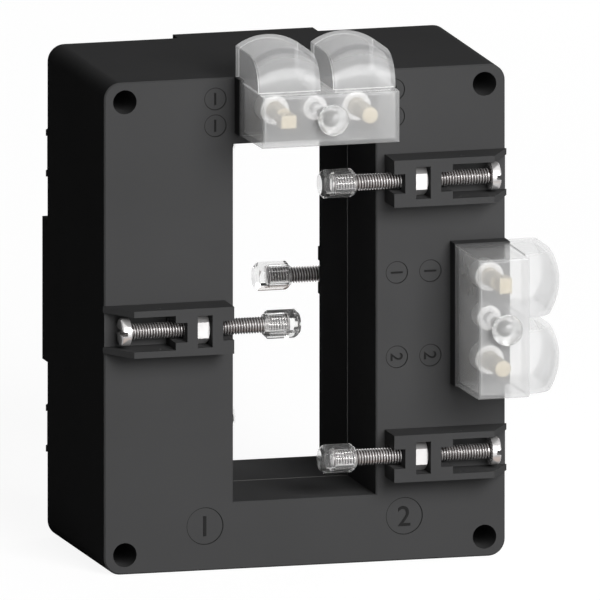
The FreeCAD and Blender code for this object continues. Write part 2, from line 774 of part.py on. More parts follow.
def add_cage(name, frame, x, shift):
    """The cage on the first stud's spigot, with the wire's way through it from the housing's edge."""
    body = new_body(f"terminal_block_{name}")
    outline = centred("cage_width", "cage_height", y=shift)
    pad(body, "cage", sketch(body, "cage_profile", "XY_Plane", [outline], lift=CAGE_START), "cage_depth")
    gap = centred("cage_width - 2 * cage_wall", "cage_depth - 2 * cage_wall", y="cage_reach - cage_depth / 2")
    way = sketch(body, "way_profile", "XZ_Plane", [gap], lift="cage_height / 2 + cage_shift")
    pocket(body, "way", way, "cage_height + 2 * cage_shift")
    bore = [("0", "0", "spigot_diameter + 2 * tail_fit")]
    hole = sketch(body, "bore_profile", "XY_Plane", circles=bore, lift=CAGE_START)
    pocket(body, "bore", hole, "cage_wall", backwards=True)
    frame.place(body, x, z="-terminal_inset", turn=FORWARDS)


def add_socket(bay, frame):
    """The socket that the seal screw goes into, rooted in the seat."""
    body = new_body(f"seal_socket_{bay}")
    root, outside, bore = "socket_root_diameter / 2", "socket_diameter / 2", "seal_diameter / 2 + seal_fit"
    bottom = "seat_rise - socket_root_depth"
    turned(body, "shape", [
        ("0", bottom),
        (root, bottom),
        (root, "seat_rise"),
        (outside, "seat_rise"),
        (outside, "seat_rise + socket_height"),
        (bore, "seat_rise + socket_height"),
        (bore, f"{bottom} + socket_floor"),
        ("0", f"{bottom} + socket_floor"),
    ])
    frame.place(body, z="-terminal_inset", turn=FORWARDS)


def add_seal_screw(bay, frame):
    """The clear seal screw: a round head that bears on the cover, on a plain shank."""
    front = "seat_rise + cover_depth"
    across_head, rise = size("seal_head_diameter") / 2, size("seal_head_half_height")
    lift = size("seal_head_lift")
    base = size("seat_rise") + size("cover_depth")
    head = Part.makeSphere(1.0)
    scale = FreeCAD.Matrix()
    scale.scale(across_head, across_head, rise)
    head = head.transformGeometry(scale)
    head.translate(FreeCAD.Vector(0, 0, base + lift))
    corner = FreeCAD.Vector(-across_head, -across_head, base)
    box = Part.makeBox(2 * across_head, 2 * across_head, lift + rise, corner)
    tip = size("seat_rise") + size("socket_height") - size("seal_engagement")
    shank = Part.makeCylinder(size("seal_diameter") / 2, base - tip, FreeCAD.Vector(0, 0, tip))
    item = new_shape(f"seal_screw_{bay}", head.common(box).fuse(shank).removeSplitter())
    frame.place(item, z="-terminal_inset", turn=FORWARDS)


def hood_solid(left, right, inset):
    """A hood between two X values, inset by a wall's thickness.

    Across the hood its top is an arc from side to side. Forwards of the shoulder the arc's height falls
    along a quarter of a superellipse to nothing at the front.
    """
    base = -size("cover_setback")
    side = size("hood_side_height") - base - inset
    rise = size("hood_crown_height") - size("hood_side_height")
    shoulder, front, back = size("hood_shoulder"), size("hood_front") - inset, -size("hood_back") - inset
    half = (right - left) / 2
    radius = (half * half + rise * rise) / (2 * rise)
    power = 2 / size("hood_fall")
    steps = range(HOOD_STATIONS)
    last = HOOD_STATIONS - 1
    flat = [(back + (shoulder - back) * step / last, 1.0) for step in steps[:-1]]
    turns = [math.radians(QUARTER_TURN) * step / last for step in steps]
    fall = [
        (shoulder + (front - shoulder) * math.sin(angle) ** power, max(math.cos(angle), 0.0) ** power)
        for angle in turns
    ]
    rows = []
    for depth, share in flat + fall:
        row = []
        for column in range(HOOD_COLUMNS):
            across_hood = half * (2 * column / (HOOD_COLUMNS - 1) - 1)
            arch = side + rise - radius + math.sqrt(radius * radius - across_hood * across_hood)
            row.append(FreeCAD.Vector((left + right) / 2 + across_hood, -depth, base + share * arch))
        rows.append(row)
    surface = Part.BSplineSurface()
    surface.interpolate(rows)
    skin = surface.toShape()

    def rim(test):
        """The skin's own edge whose ends all pass a test."""
        return [edge for edge in skin.Edges if all(test(vertex.Point) for vertex in edge.Vertexes)][0]

    ends = {x: [FreeCAD.Vector(x, -back, base), FreeCAD.Vector(x, -front, base)] for x in (left, right)}
    faces = [skin]
    for x, (behind, ahead) in ends.items():
        upright = Part.makeLine(behind, behind + FreeCAD.Vector(0, 0, side))
        arch = rim(lambda point: near(point.x, x))
        faces.append(Part.Face(Part.Wire([upright, arch, Part.makeLine(ahead, behind)])))
    tops = [behind + FreeCAD.Vector(0, 0, side) for behind, ahead in ends.values()]
    feet = [behind for behind, ahead in ends.values()]
    back_edges = [
        Part.makeLine(feet[1], feet[0]), Part.makeLine(feet[0], tops[0]),
        rim(lambda point: near(point.y, -back)), Part.makeLine(tops[1], feet[1]),
    ]
    faces.append(Part.Face(Part.Wire(back_edges)))
    floor = [ends[left][0], ends[left][1], ends[right][1], ends[right][0], ends[left][0]]
    faces.append(Part.Face(Part.makePolygon(floor)))
    shell = Part.makeShell(faces)
    shell.sewShape()
    solid = Part.makeSolid(shell)
    if solid.Volume < 0:
        solid.reverse()
    return solid


def cover_box(inset):
    """The box part of a cover as a solid, inset by a wall's thickness on all sides but its open back."""
    half = size("cover_length") / 2 - inset
    low = -size("cover_setback") - size("cover_width") + inset
    high = -size("cover_setback") - inset
    back, front = size("seat_rise") - inset, size("seat_rise") + size("cover_depth") - inset
    corners = [(back, low), (front, low + size("cover_draft")), (front, high), (back, high)]
    wire = Part.makePolygon([FreeCAD.Vector(-half, -depth, z) for depth, z in corners + corners[:1]])
    return Part.Face(wire).extrude(FreeCAD.Vector(2 * half, 0, 0))


def add_cover(bay, frame):
    """A clear cover: a box open at its back, with two arched hoods that are open at theirs."""
    half, hood, wall = size("cover_length") / 2, size("hood_width"), size("cover_wall")
    seat = size("seat_rise")
    box = cover_box(0)
    front = -(seat + size("cover_depth"))
    rounded = [edge for edge in box.Edges if lies_at_depth(edge, front)]
    deep = [edge for edge in box.Edges if near(edge.Length, size("cover_depth"))]
    rounded += [edge for edge in deep if lies_along(edge, Y_AXIS)]
    outside = box.makeFillet(size("cover_edge_round"), rounded)
    inside = cover_box(wall)
    behind = Part.makeBox(
        2 * half, seat + size("hood_back") + wall, size("seat_width"),
        FreeCAD.Vector(-half, -seat, -size("seat_width")),
    )
    for left, right in ((-half, hood - half), (half - hood, half)):
        outside = outside.fuse(hood_solid(left, right, 0).cut(behind))
        throat = Part.makeBox(
            hood - 2 * wall, size("hood_front") - wall - seat, 2 * wall,
            FreeCAD.Vector(left + wall, wall - size("hood_front"), -size("cover_setback") - 2 * wall),
        )
        inside = inside.fuse(hood_solid(left + wall, right - wall, wall)).fuse(throat)
    hole = size("seal_diameter") / 2 + size("seal_hole_clearance")
    middle = FreeCAD.Vector(0, front, -size("terminal_inset"))
    shape = outside.cut(inside).cut(Part.makeCylinder(hole, 2 * wall, middle, Y_AXIS))
    frame.place(new_shape(f"terminal_cover_{bay}", shape), "0")


def write_parts():
    """Checks every object, then writes one file for each sub-part."""
    document.recompute()
    for item in document.Objects:
        if {"Invalid", "Error"} & set(item.State):
            raise RuntimeError(f"{item.Label} failed: {item.State}")
    for item in sub_parts:
        if item.Shape.isNull() or not item.Shape.isValid() or not item.Shape.Solids:
            raise RuntimeError(f"{item.Label} has no valid solid")
    os.makedirs("parts", exist_ok=True)
    for item in sub_parts:
        item.Shape.exportStep(os.path.join("parts", f"{item.Label}.step"))


add_half_shell("front_shell", NO_TURN, terminals=True)
add_half_shell("rear_shell", FreeCAD.Rotation(Z_AXIS, HALF_TURN), terminals=False)
add_core()
add_winding("winding_left", LEFT)
add_winding("winding_right", RIGHT)
add_leads()
for set_name, set_frame in clamp_frames():
    add_screw(set_name, set_frame)
    add_nut(set_name, set_frame)
    add_cap(set_name, set_frame)
for bay_name, bay_frame in BAYS.items():
    add_cover(bay_name, bay_frame)
    add_socket(bay_name, bay_frame)
    add_seal_screw(bay_name, bay_frame)
    for terminal, place_x in TERMINALS.items():
        piece_name = f"{bay_name}_{terminal}"
        add_collar(piece_name, bay_frame, place_x)
        add_stud(piece_name, bay_frame, place_x, with_cage=terminal == "one")
    add_cage(bay_name, bay_frame, TERMINALS["one"], CAGE_SHIFTS[bay_name])
write_parts()
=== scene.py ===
"""A window current transformer for flat busbars, dressed and lit round its packed CAD frame."""

import math
from contextlib import contextmanager

import bmesh
import bpy
import numpy as np
from mathutils import Matrix, Vector


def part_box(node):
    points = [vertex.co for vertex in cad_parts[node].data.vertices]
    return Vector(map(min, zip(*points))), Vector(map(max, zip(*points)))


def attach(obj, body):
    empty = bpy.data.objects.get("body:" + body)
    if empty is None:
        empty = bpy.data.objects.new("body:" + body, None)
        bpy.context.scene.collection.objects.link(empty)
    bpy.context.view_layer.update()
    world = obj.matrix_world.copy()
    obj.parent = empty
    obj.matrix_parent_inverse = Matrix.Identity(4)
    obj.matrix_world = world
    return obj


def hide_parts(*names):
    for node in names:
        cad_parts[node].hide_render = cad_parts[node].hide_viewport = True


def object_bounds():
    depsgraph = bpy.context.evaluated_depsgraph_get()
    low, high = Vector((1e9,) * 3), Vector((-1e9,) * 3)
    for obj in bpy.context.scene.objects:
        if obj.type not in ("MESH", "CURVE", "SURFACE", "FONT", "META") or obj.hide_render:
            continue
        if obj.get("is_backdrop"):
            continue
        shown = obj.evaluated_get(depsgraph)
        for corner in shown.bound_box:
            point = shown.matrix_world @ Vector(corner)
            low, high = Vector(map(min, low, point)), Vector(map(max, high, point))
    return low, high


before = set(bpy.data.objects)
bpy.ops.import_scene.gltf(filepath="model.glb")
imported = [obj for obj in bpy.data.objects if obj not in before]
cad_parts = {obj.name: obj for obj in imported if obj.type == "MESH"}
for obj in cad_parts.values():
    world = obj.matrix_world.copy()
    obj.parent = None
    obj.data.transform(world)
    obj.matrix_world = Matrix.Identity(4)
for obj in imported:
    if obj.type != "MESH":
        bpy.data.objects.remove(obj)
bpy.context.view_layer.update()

bl_info = {
    "name": "Window Current Transformer",
    "version": (1, 0, 0),
    "blender": (4, 5, 0),
    "location": "View3D > Sidebar > Transformer",
    "description": "Dresses a window current transformer's packed frame piece by piece and lights it",
    "category": "Object",
}

CLAMPS = [f"{face}_{level}" for face in ("front", "rear") for level in ("middle", "upper", "lower")]
BAYS = ("top", "side")
TERMINALS = ("one", "two")
SHELLS = ("front_shell", "rear_shell")
# The thread's depth at each point, by which the screws' finish paints a brighter thread and painted shade at
# its roots.
THREAD_DEPTH = "thread_depth"
BEVEL_SAMPLES = 6
WHITE = (1.0, 1.0, 1.0)

# Angles, the corners of a square one unit out from its middle, and the steps of curves.
FULL_TURN = 2 * math.pi
QUARTER_TURN = math.pi / 2
HEX_SIDES = 6
SQUARE = np.array([(-1, -1), (1, -1), (1, 1), (-1, 1)])
ROUND_STEPS = 6
BALL_STEPS = 28

# Roundings of small turned edges, in metres.
FINE_ROUND = 0.0002
SMALL_ROUND = 0.0003

# The way in which a cover's bright edges lean: to the left, forwards and up.
EDGE_LIGHT = (-0.54, -0.65, 0.54)

# The room's colours by height, from straight down at 0 to straight up at 1, and its stripe's colour.
WARM = (0.55, 0.42, 0.36)
SEAM = (0.25, 0.25, 0.27)
STRIPE = (0.30, 0.30, 0.31)
ROOM_STOPS = ((0.0, WARM), (0.16, WARM), (0.19, SEAM), (0.22, SEAM), (0.25, WHITE), (1.0, WHITE))

# Each lamp's setting, the way to it from the object, its distance and the length of its sides.
LAMPS = (
    ("key", (0.20, -0.90, 0.44), 2.2, 1.0),
    ("fill", (0.12, -1.0, 0.20), 2.6, 1.6),
    ("back", (0.85, 0.60, 0.16), 2.4, 1.6),
    ("rear", (0.15, 1.0, 0.10), 2.4, 1.6),
)


def length(name, description, default):
    """A property for a distance in metres."""
    return bpy.props.FloatProperty(
        name=name, description=description, default=default, min=0, precision=5,
        subtype="DISTANCE", unit="LENGTH",
    )


def colour(name, description, default):
    """A property for a linear colour."""
    return bpy.props.FloatVectorProperty(
        name=name, description=description, default=default, min=0, max=1, subtype="COLOR", size=3,
    )


def share(name, description, default):
    """A property for a number from 0 to 1."""
    return bpy.props.FloatProperty(
        name=name, description=description, default=default, min=0, max=1, subtype="FACTOR",
    )


def angle(name, description, degrees):
    """A property for an angle, given in degrees."""
    return bpy.props.FloatProperty(
        name=name, description=description, default=math.radians(degrees), subtype="ANGLE", unit="ROTATION",
    )

class HousingSettings(bpy.types.PropertyGroup):
    """The moulded housing and what is sealed in it."""

    width: length("Housing width", "Width of the housing between its side faces", 0.146)
    depth: length("Housing depth", "Depth of the housing between its front and rear faces", 0.076)
    plastic: colour("Plastic", "Colour of the moulded housing", (0.075, 0.075, 0.076))
    # This colour paints the seam line paler than the rest of the housing.
    seam: colour("Seam", "Colour of the worn line where the two halves meet", (0.16, 0.155, 0.15))
    window_width: length("Window width", "Width of the bar window", 0.052)
    window_height: length("Window height", "Height of the bar window", 0.128)
    seam_width: length("Seam width", "Width of the line where the two halves meet", 0.0003)
    seam_rise: length("Seam rise", "How far that line stands out of the window's wall", 0.00006)
    # Painted shade: the numbers and the rings round their discs are coloured this dark in place of the shade
    # that darkens the strokes and the recessed discs' edges.
    mark: colour("Marks", "Colour of the numbers and of the gap round their discs", (0.014, 0.014, 0.014))
    roughness: share("Roughness", "Roughness of the moulded housing", 0.55)
    grain: length("Grain", "Size of the eroded mould's grain", 0.0004)
    steel: colour("Core steel", "Colour of the core's strip", (0.42, 0.43, 0.45))
    strip: length("Strip thickness", "Thickness of one turn of the core's steel strip", 0.0003)
    tape: colour("Winding tape", "Colour of the varnished tape on the windings", (0.62, 0.40, 0.10))
    tape_width: length("Tape width", "Width of one turn of the winding tape", 0.012)
    sleeve: colour("Lead sleeve", "Colour of the leads' insulating sleeve", (0.62, 0.62, 0.58))


class MarkSettings(bpy.types.PropertyGroup):
    """The raised numbers in the terminals' recessed discs."""

    small_height: length("Small number", "Height of a terminal's number", 0.0043)
    large_height: length("Large number", "Height of a side's number", 0.0071)
    small_disc: length("Small disc", "Diameter of a terminal's disc", 0.0081)
    large_disc: length("Large disc", "Diameter of a side's disc", 0.0134)
    # The ring round each disc is a thin dark line of painted shade at the disc's recessed edge.
    gap_width: length("Gap width", "Width of the fine gap round each disc", 0.00025)
    gap_thickness: length("Gap thickness", "Thickness of the line that shows the gap", 0.00004)
    relief: length("Relief", "Depth of the discs, which is how far the numbers are raised", 0.00035)
    column: length("Column", "Distance of the top terminals' discs from the middle", 0.0325)
    top_inset: length("Top inset", "Distance of the upper disc from the housing's top", 0.0075)
    top_pitch: length("Top pitch", "Distance between the two discs at the top", 0.0096)
    side_spacing: length("Side spacing", "Distance between the side terminals' discs", 0.0302)
    side_inset: length("Side inset", "Distance of the outer discs from the housing's right side", 0.0272)
    side_pitch: length("Side pitch", "Distance between the two columns of discs at the side", 0.0122)
    large_offset: length("Large offset", "Distance of the large discs from the middle", 0.0363)
    large_rise: length("Large rise", "Height of the large discs above the bottom", 0.0159)


class ClampSettings(bpy.types.PropertyGroup):
    """The clamp screws, their nuts and their insulating caps."""

    steel: colour("Plated steel", "Colour of the screws and nuts", (0.80, 0.785, 0.78))
    shadow: colour("Thread shadow", "Colour at the thread's root, which lies in shade", (0.055, 0.042, 0.04))
    thread_diameter: length("Thread diameter", "Diameter over the thread's crests", 0.0059)
    thread_root: length("Thread root", "Diameter at the thread's root", 0.0047)
    pitch: length("Pitch", "Advance of the thread in one turn", 0.001)
    tip_bevel: length("Tip bevel", "Bevel on the screw's tip", 0.0008)
    head_height: length("Head height", "Height of the cheese head", 0.0032)
    head_round: length("Head rounding", "Rounding of the head's rim", 0.0006)
    slot_width: length("Slot width", "Width of the driver slot", 0.0016)
    slot_depth: length("Slot depth", "Depth of the driver slot", 0.0017)
    cap_flats: length("Cap width", "Width across the insulating cap's flats", 0.009)
    cap_bore: length("Cap bore", "Diameter of the insulating cap's bore", 0.006)
    cap_wall: length("Cap end wall", "Thickness of the insulating cap's closed end", 0.0037)
    cap_bevel: length("Cap bevel", "Bevel on the insulating cap's corners", 0.0009)
    cap_point: length("Bore point", "Depth of the drilled point at the bore's end", 0.0016)
    cap_round: length("Cap edges", "Rounding of the insulating cap's edges", 0.00006)
    end_gloss: share("Cap end gloss", "How much of the room shows in the cap's flat ends", 0.65)


class TerminalSettings(bpy.types.PropertyGroup):
    """The terminals, and the covers and seal screws over them."""

    tail_length: length("Tail length", "Length of the stud's tail, from its end to the seat's face", 0.011)
    collar_bore: length("Collar bore", "Diameter of the wire collar's bore", 0.0061)
    collar_round: length("Collar rounding", "Rounding of the wire collar's outer edge", 0.0006)
    tail_diameter: length("Tail diameter", "Diameter of the stud's tail in the seat", 0.004)
    stud_round: length("Stud rounding", "Rounding of the stud's end", 0.0006)
    spigot_diameter: length("Spigot diameter", "Diameter of the spigot that carries the cage", 0.002)
    spigot_length: length("Spigot length", "Length of the spigot that carries the cage", 0.0008)
    cage_round: length("Cage rounding", "Rounding of the cage's edges", 0.00015)
    socket_root: length("Socket root", "Diameter of the socket's root in the seat", 0.005)
    socket_root_depth: length("Socket root depth", "Length of the socket's root", 0.0045)
    socket_bore: length("Socket bore", "Diameter of the socket's bore", 0.0041)
    socket_floor: length("Socket floor", "Thickness of the socket's closed end", 0.0015)
    shank_diameter: length("Seal shank", "Diameter of the seal screw's shank", 0.004)
    head_lift: length("Seal head lift", "Height of the seal head's widest part above the cover", 0.0031)
    brass: colour("Brass", "Colour of the terminal studs and cages", (0.66, 0.58, 0.42))
    nickel: colour("Nickel", "Colour of the collars and sockets", (0.93, 0.925, 0.92))
    milk: colour("Cover", "Colour of the milky covers", (0.97, 0.975, 0.985))
    haze: share("Haze", "How much of what lies behind one face of a cover it hides", 0.30)
    glow: share("Glow", "How much of that haze is lit from behind the face", 0.42)
    gloss: share("Cover roughness", "Roughness of the covers' polished faces", 0.20)
    edge: length("Bright edge", "Width of the bright line along a cover's edges", 0.0008)
    sheen: share("Cover sheen", "How much of the white ceiling shows in the faces that look up", 0.17)
    seal_gap: length("Seal gap", "Gap between the seal's head and its cover", 0.00005)


class StageSettings(bpy.types.PropertyGroup):
    """The camera, the lamps and the floor."""

    azimuth: angle("Azimuth", "Camera's turn from the front, to the right", -15.31)
    elevation: angle("Elevation", "Camera's height above the horizon", 10.85)
    target: bpy.props.FloatVectorProperty(
        name="Target", description="Point at the middle of the picture", default=(0.0087, 0.0, 0.0875),
        size=3, subtype="XYZ", unit="LENGTH",
    )
    picture_width: length("Picture width", "Width of the picture at the target", 0.2108)
    distance: length("Camera distance", "Distance from the camera to the point it looks at", 2.0)
    floor: colour("Floor", "Colour of the floor under the lamps", (0.22, 0.22, 0.22))
    paper: share("Floor white", "How white the floor shows without the lamps", 0.91)
    floor_size: length("Floor size", "Length of the floor's sides", 16.0)
    key: share("Key light", "Level of the light from the front right", 0.55)
    fill: share("Fill light", "Level of the light from the front", 0.50)
    back: share("Back light", "Level of the light from behind", 0.40)
    rear: share("Rear light", "Level of the light on the rear face", 0.20)
    room: share("Room light", "Level of the light that comes from all sides", 0.02)


# Shader maths. A Wire is one output of a node, and Python's own signs add the nodes that work with it.


class Wire:
    """One output socket of a finish's nodes, with sums written as Python expressions."""

    def __init__(self, finish, socket):
        self.finish = finish
        self.socket = socket

    def maths(self, operation, *values):
        """The result of one Math node."""
        return self.finish.node("ShaderNodeMath", {"operation": operation}, dict(enumerate(values)))

    def __add__(self, other):
        return self.maths("ADD", self, other)

    __radd__ = __add__

    def __mul__(self, other):
        return self.maths("MULTIPLY", self, other)

    def __sub__(self, other):
        return self.maths("SUBTRACT", self, other)

    def __rsub__(self, other):
        return self.maths("SUBTRACT", other, self)

    def __truediv__(self, other):
        return self.maths("DIVIDE", self, other)
    def larger(self, other):
        """The larger of two values."""
        return self.maths("MAXIMUM", self, other)

    def fraction(self):
        """The part of the value after its point."""
        return self.maths("FRACT", self)

    def within(self, low, high):
        """0 below one limit and 1 above the other, with a smooth rise between them."""
        return self.finish.node(
            "ShaderNodeMapRange", {"interpolation_type": "SMOOTHSTEP"},
            {"Value": self, "From Min": low, "From Max": high},
        )

    def swing(self, reach, middle=0.5):
        """A noise from 0 to 1 turned into a change to both sides, whose whole width is reach."""
        return (self - middle) * reach


class Finish:
    """One node tree: a piece's material, or the world."""

    def __init__(self, owner):
        owner.use_nodes = True
        self.owner = owner
        self.tree = owner.node_tree
        self.tree.nodes.clear()

    def node(self, kind, settings=None, inputs=None, output=0):
        """Adds a node, first its settings, then its inputs' values or links, and gives one of its outputs."""
        node = self.tree.nodes.new(kind)
        for key, value in (settings or {}).items():
            if key == "stops":
                while len(node.color_ramp.elements) < len(value):
                    node.color_ramp.elements.new(0)
                for element, (position, stop) in zip(node.color_ramp.elements, value):
                    element.position = position
                    element.color = (*stop, 1)
            else:
                setattr(node, key, value)
        for key, value in (inputs or {}).items():
            if isinstance(value, Wire):
                self.tree.links.new(value.socket, node.inputs[key])
            else:
                node.inputs[key].default_value = value
        outputs = [socket for socket in node.outputs if socket.enabled]
        if not outputs:
            return None
        return Wire(self, node.outputs[output] if isinstance(output, str) else outputs[output])

    def place(self):
        """Where a point is on its piece, in metres."""
        return self.node("ShaderNodeTexCoord", output="Object")

    def part(self, vector, axis):
        """One coordinate of a vector."""
        return self.node("ShaderNodeSeparateXYZ", inputs={"Vector": vector}, output=axis)

    def noise(self, vector, size, detail=2.0, roughness=0.5):
        """Cloudy noise with features of one size, from 0 to 1."""
        return self.node(
            "ShaderNodeTexNoise", {"normalize": True},
            {"Vector": vector, "Scale": 1 / size, "Detail": detail, "Roughness": roughness}, "Fac",
        )

    def stretched(self, vector, scale):
        """A vector with its three coordinates multiplied."""
        return self.node("ShaderNodeMapping", inputs={"Vector": vector, "Scale": scale})

    def blend(self, factor, first, second):
        """A colour between two others. The node's colour inputs have the numbers 6 and 7."""
        return self.node("ShaderNodeMix", {"data_type": "RGBA"}, {0: factor, 6: first, 7: second})

    def varied(self, factor, rgb, low, high):
        """A colour that is multiplied by low where the factor is 0, and by high where it is 1."""
        return self.blend(factor, opaque(rgb, low), opaque(rgb, high))

    def bump(self, height, distance, strength):
        """A normal that follows a height, whose full step is a distance in metres."""
        return self.node(
            "ShaderNodeBump", None, {"Height": height, "Distance": distance, "Strength": strength},
        )

    def normal(self):
        """The way the surface faces."""
        return self.node("ShaderNodeNewGeometry", output="Normal")

    def rounded_normal(self, width):
        """The way the surface would face with its edges rounded by a width."""
        return self.node("ShaderNodeBevel", {"samples": BEVEL_SAMPLES}, {"Radius": width})

    def match(self, first, second):
        """How well two directions match: 1 when they are the same and 0 when they are at right angles."""
        return self.node("ShaderNodeVectorMath", {"operation": "DOT_PRODUCT"}, {0: first, 1: second}, "Value")

    def edge(self, width):
        """How far a surface leans from its rounded normal: 0 on flats, about 0.3 at a square edge."""
        return 1 - self.match(self.rounded_normal(width), self.normal())

    def ray(self, kind):
        """1 for rays of one kind, and 0 for all others."""
        return self.node("ShaderNodeLightPath", output=f"Is {kind} Ray")

    def mirror(self, roughness):
        """A white shader that only mirrors."""
        return self.node("ShaderNodeBsdfGlossy", None, {"Color": opaque(WHITE), "Roughness": roughness})

    def background(self, colour, strength):
        """What rays that leave the scene meet."""
        return self.node("ShaderNodeBackground", None, {"Color": colour, "Strength": strength})

    def mix(self, factor, first, second):
        """A shader between two others."""
        return self.node("ShaderNodeMixShader", None, {"Fac": factor, 1: first, 2: second})

    def principled(self, **values):
        """A Principled shader, with the inputs' names written with underscores."""
        inputs = {name.replace("_", " "): value for name, value in values.items()}
        return self.node("ShaderNodeBsdfPrincipled", None, inputs)

    def end(self, shader):
        """Ends the tree in a shader, and gives the material."""
        self.node("ShaderNodeOutputMaterial", None, {"Surface": shader})
        return self.owner

    def plain(self, **values):
        """Ends the tree in one Principled shader."""
        return self.end(self.principled(**values))


def new_finish(name, group):
    """An empty node tree in a new material, and the group of settings that it goes by."""
    return Finish(bpy.data.materials.new(name)), getattr(bpy.context.scene, f"transformer_{group}")


def opaque(rgb, scale=1.0):
    """A colour with its alpha, made lighter or darker."""
    return (*(min(1.0, channel * scale) for channel in rgb), 1.0)


def uneven(least, *parts):
    """The least value and what the parts add to it: each is a noise from 0 to 1 with how far it rises."""
    value = least
    for noise, rise in parts:
        value = value + noise * rise
    return value


def black_plastic():
    """Moulded plastic from a spark-eroded mould: a fine grain, with slow changes of tone and gloss."""
    finish, settings = new_finish("moulded_black", "housing")
    place = finish.place()
    grain = finish.noise(place, settings.grain, detail=3.0, roughness=0.6)
    cloud = finish.noise(place, size=0.03, detail=3.0)
    half = 0.5
    return finish.plain(
        Base_Color=finish.varied(grain * half + cloud * half, settings.plastic, low=0.86, high=1.14),
        Roughness=settings.roughness + cloud.swing(0.10) + grain.swing(0.08),
        Specular_IOR_Level=0.0,
        Normal=finish.bump(grain, distance=0.00002, strength=0.5),
    )


def plated_steel():
    """Bright plating on turned steel, with fine turning marks and uneven gloss. The thread is painted
    brighter than the head as a painted highlight, and its roots are painted dark as painted shade.
    """
    finish, settings = new_finish("plated_steel", "clamps")
    place = finish.place()
    marks = finish.noise(finish.stretched(place, scale=(6.0, 1.0, 1.0)), size=0.0006)
    cloud = finish.noise(place, size=0.004)
    tone = finish.varied(cloud, settings.steel, low=0.95, high=1.05)
    # Painted light: the whole thread is painted brighter and more metallic than the head, and its roots
    # darker and less metallic the deeper they lie, as painted shade.
    depth = finish.node("ShaderNodeAttribute", {"attribute_name": THREAD_DEPTH}, output="Fac")
    thread = depth.within(low=0.02, high=0.08)
    root = depth.within(low=0.28, high=0.88)
    tone = finish.blend(thread, tone, finish.varied(cloud, settings.steel, low=1.08, high=1.18))
    metal, thread_highlight_gain, root_shade_loss = 0.6, 0.12, 0.5
    return finish.plain(
        Base_Color=finish.blend(root, tone, opaque(settings.shadow)),
        Metallic=metal + thread * thread_highlight_gain - root * root_shade_loss,
        Roughness=uneven(0.14, (cloud, 0.08), (marks, 0.04)),
        Normal=finish.bump(marks, distance=0.000004, strength=0.5),
    )


def nickel_plate():
    """Bright nickel on the collars and sockets."""
    finish, settings = new_finish("nickel_plate", "terminals")
    cloud = finish.noise(finish.place(), size=0.003)
    tone = finish.varied(cloud, settings.nickel, low=0.94, high=1.05)
    return finish.plain(Base_Color=tone, Metallic=0.3, Roughness=uneven(0.28, (cloud, 0.12)))


def pale_brass():
    """Pale turned brass, with faint rings of the tool round each stud."""
    finish, settings = new_finish("pale_brass", "terminals")
    place = finish.place()
    rings = finish.noise(finish.stretched(place, scale=(1.0, 8.0, 1.0)), size=0.001)
    cloud = finish.noise(place, size=0.004)
    return finish.plain(
        Base_Color=finish.varied(cloud, settings.brass, low=0.92, high=1.06),
        Metallic=0.3,
        Roughness=uneven(0.36, (rings, 0.12)),
        Normal=finish.bump(rings, distance=0.000004, strength=0.5),
    )


def polished(finish, refraction, clearness):
    """Clear polished plastic with a little milk in it, and faint flow marks."""
    flow = finish.noise(finish.place(), size=0.004)
    most_roughness = 0.02
    return finish.principled(
        Base_Color=(0.98, 0.98, 0.975, 1.0), Roughness=flow * most_roughness, IOR=refraction,
        Transmission_Weight=clearness, Normal=finish.bump(flow, distance=0.00003, strength=0.25),
    )


def clear_plastic():
    """The insulating caps' plastic, whose flat ends show the white room."""
    finish, settings = new_finish("clear_cap_plastic", "clamps")
    sideways = finish.part(finish.normal(), "X")
    end = (sideways * sideways).within(low=0.85, high=0.98) * settings.end_gloss
    mirror = finish.mirror(roughness=0.1)
    body = polished(finish, refraction=1.49, clearness=0.95)
    return finish.end(finish.mix(end, body, mirror))


def seal_plastic():
    """The seal screws' plastic."""
    finish, _ = new_finish("clear_seal_plastic", "terminals")
    return finish.end(polished(finish, refraction=1.40, clearness=0.70))


def matt_detail(name, setting, size, low, high):
    """The matt plastic of a small detail of the housing, in the colour of one of its settings."""
    finish, settings = new_finish(name, "housing")
    tone = finish.varied(finish.noise(finish.place(), size), getattr(settings, setting), low, high)
    return finish.plain(Base_Color=tone, Roughness=0.5, Specular_IOR_Level=0.1)


def seam_plastic():
    """The paler plastic of the line where the two halves of the housing meet."""
    return matt_detail("housing_seam", "seam", size=0.0006, low=0.7, high=1.3)


def mark_plastic():
    """The numbers and the thin rings round their discs, coloured near black as painted shade: it stands for
    the shade that darkens the numbers' strokes and the recessed discs' edges.
    """
    return matt_detail("dark_marks", "mark", size=0.0003, low=0.8, high=1.2)


def milky_plastic():
    """The covers' clear plastic with a little milk in it: a thin haze that light from both sides brightens.

    Faces that look up also show the white ceiling. Edges that lean along EDGE_LIGHT are drawn as bright
    lines, which stand for what a polished edge reflects.
    """
    finish, settings = new_finish("milky_plastic", "terminals")
    cloud = finish.noise(finish.place(), size=0.012)
    colour = finish.varied(cloud, settings.milk, low=0.97, high=1.03)
    lit = finish.principled(
        Base_Color=colour, Roughness=settings.gloss + cloud.swing(0.06), IOR=1.6, Specular_IOR_Level=1.0,
    )
    glowing = finish.node("ShaderNodeBsdfTranslucent", None, {"Color": colour})
    clear = finish.node("ShaderNodeBsdfTransparent", None, {"Color": opaque(WHITE)})
    milk = finish.mix(settings.glow, lit, glowing)
    wall = finish.mix(settings.haze, clear, milk)
    bright = finish.principled(Base_Color=opaque(WHITE), Roughness=0.2, IOR=1.49)
    lean = finish.match(finish.rounded_normal(settings.edge), EDGE_LIGHT)
    edge = finish.edge(settings.edge).within(low=0.02, high=0.2) * lean.within(low=0.5, high=0.8)
    upward = finish.part(finish.normal(), "Z").within(low=0.3, high=1.0) * settings.sheen
    sheened = finish.mix(upward, wall, finish.mirror(roughness=0.2))
    return finish.end(finish.mix(edge, sheened, bright))


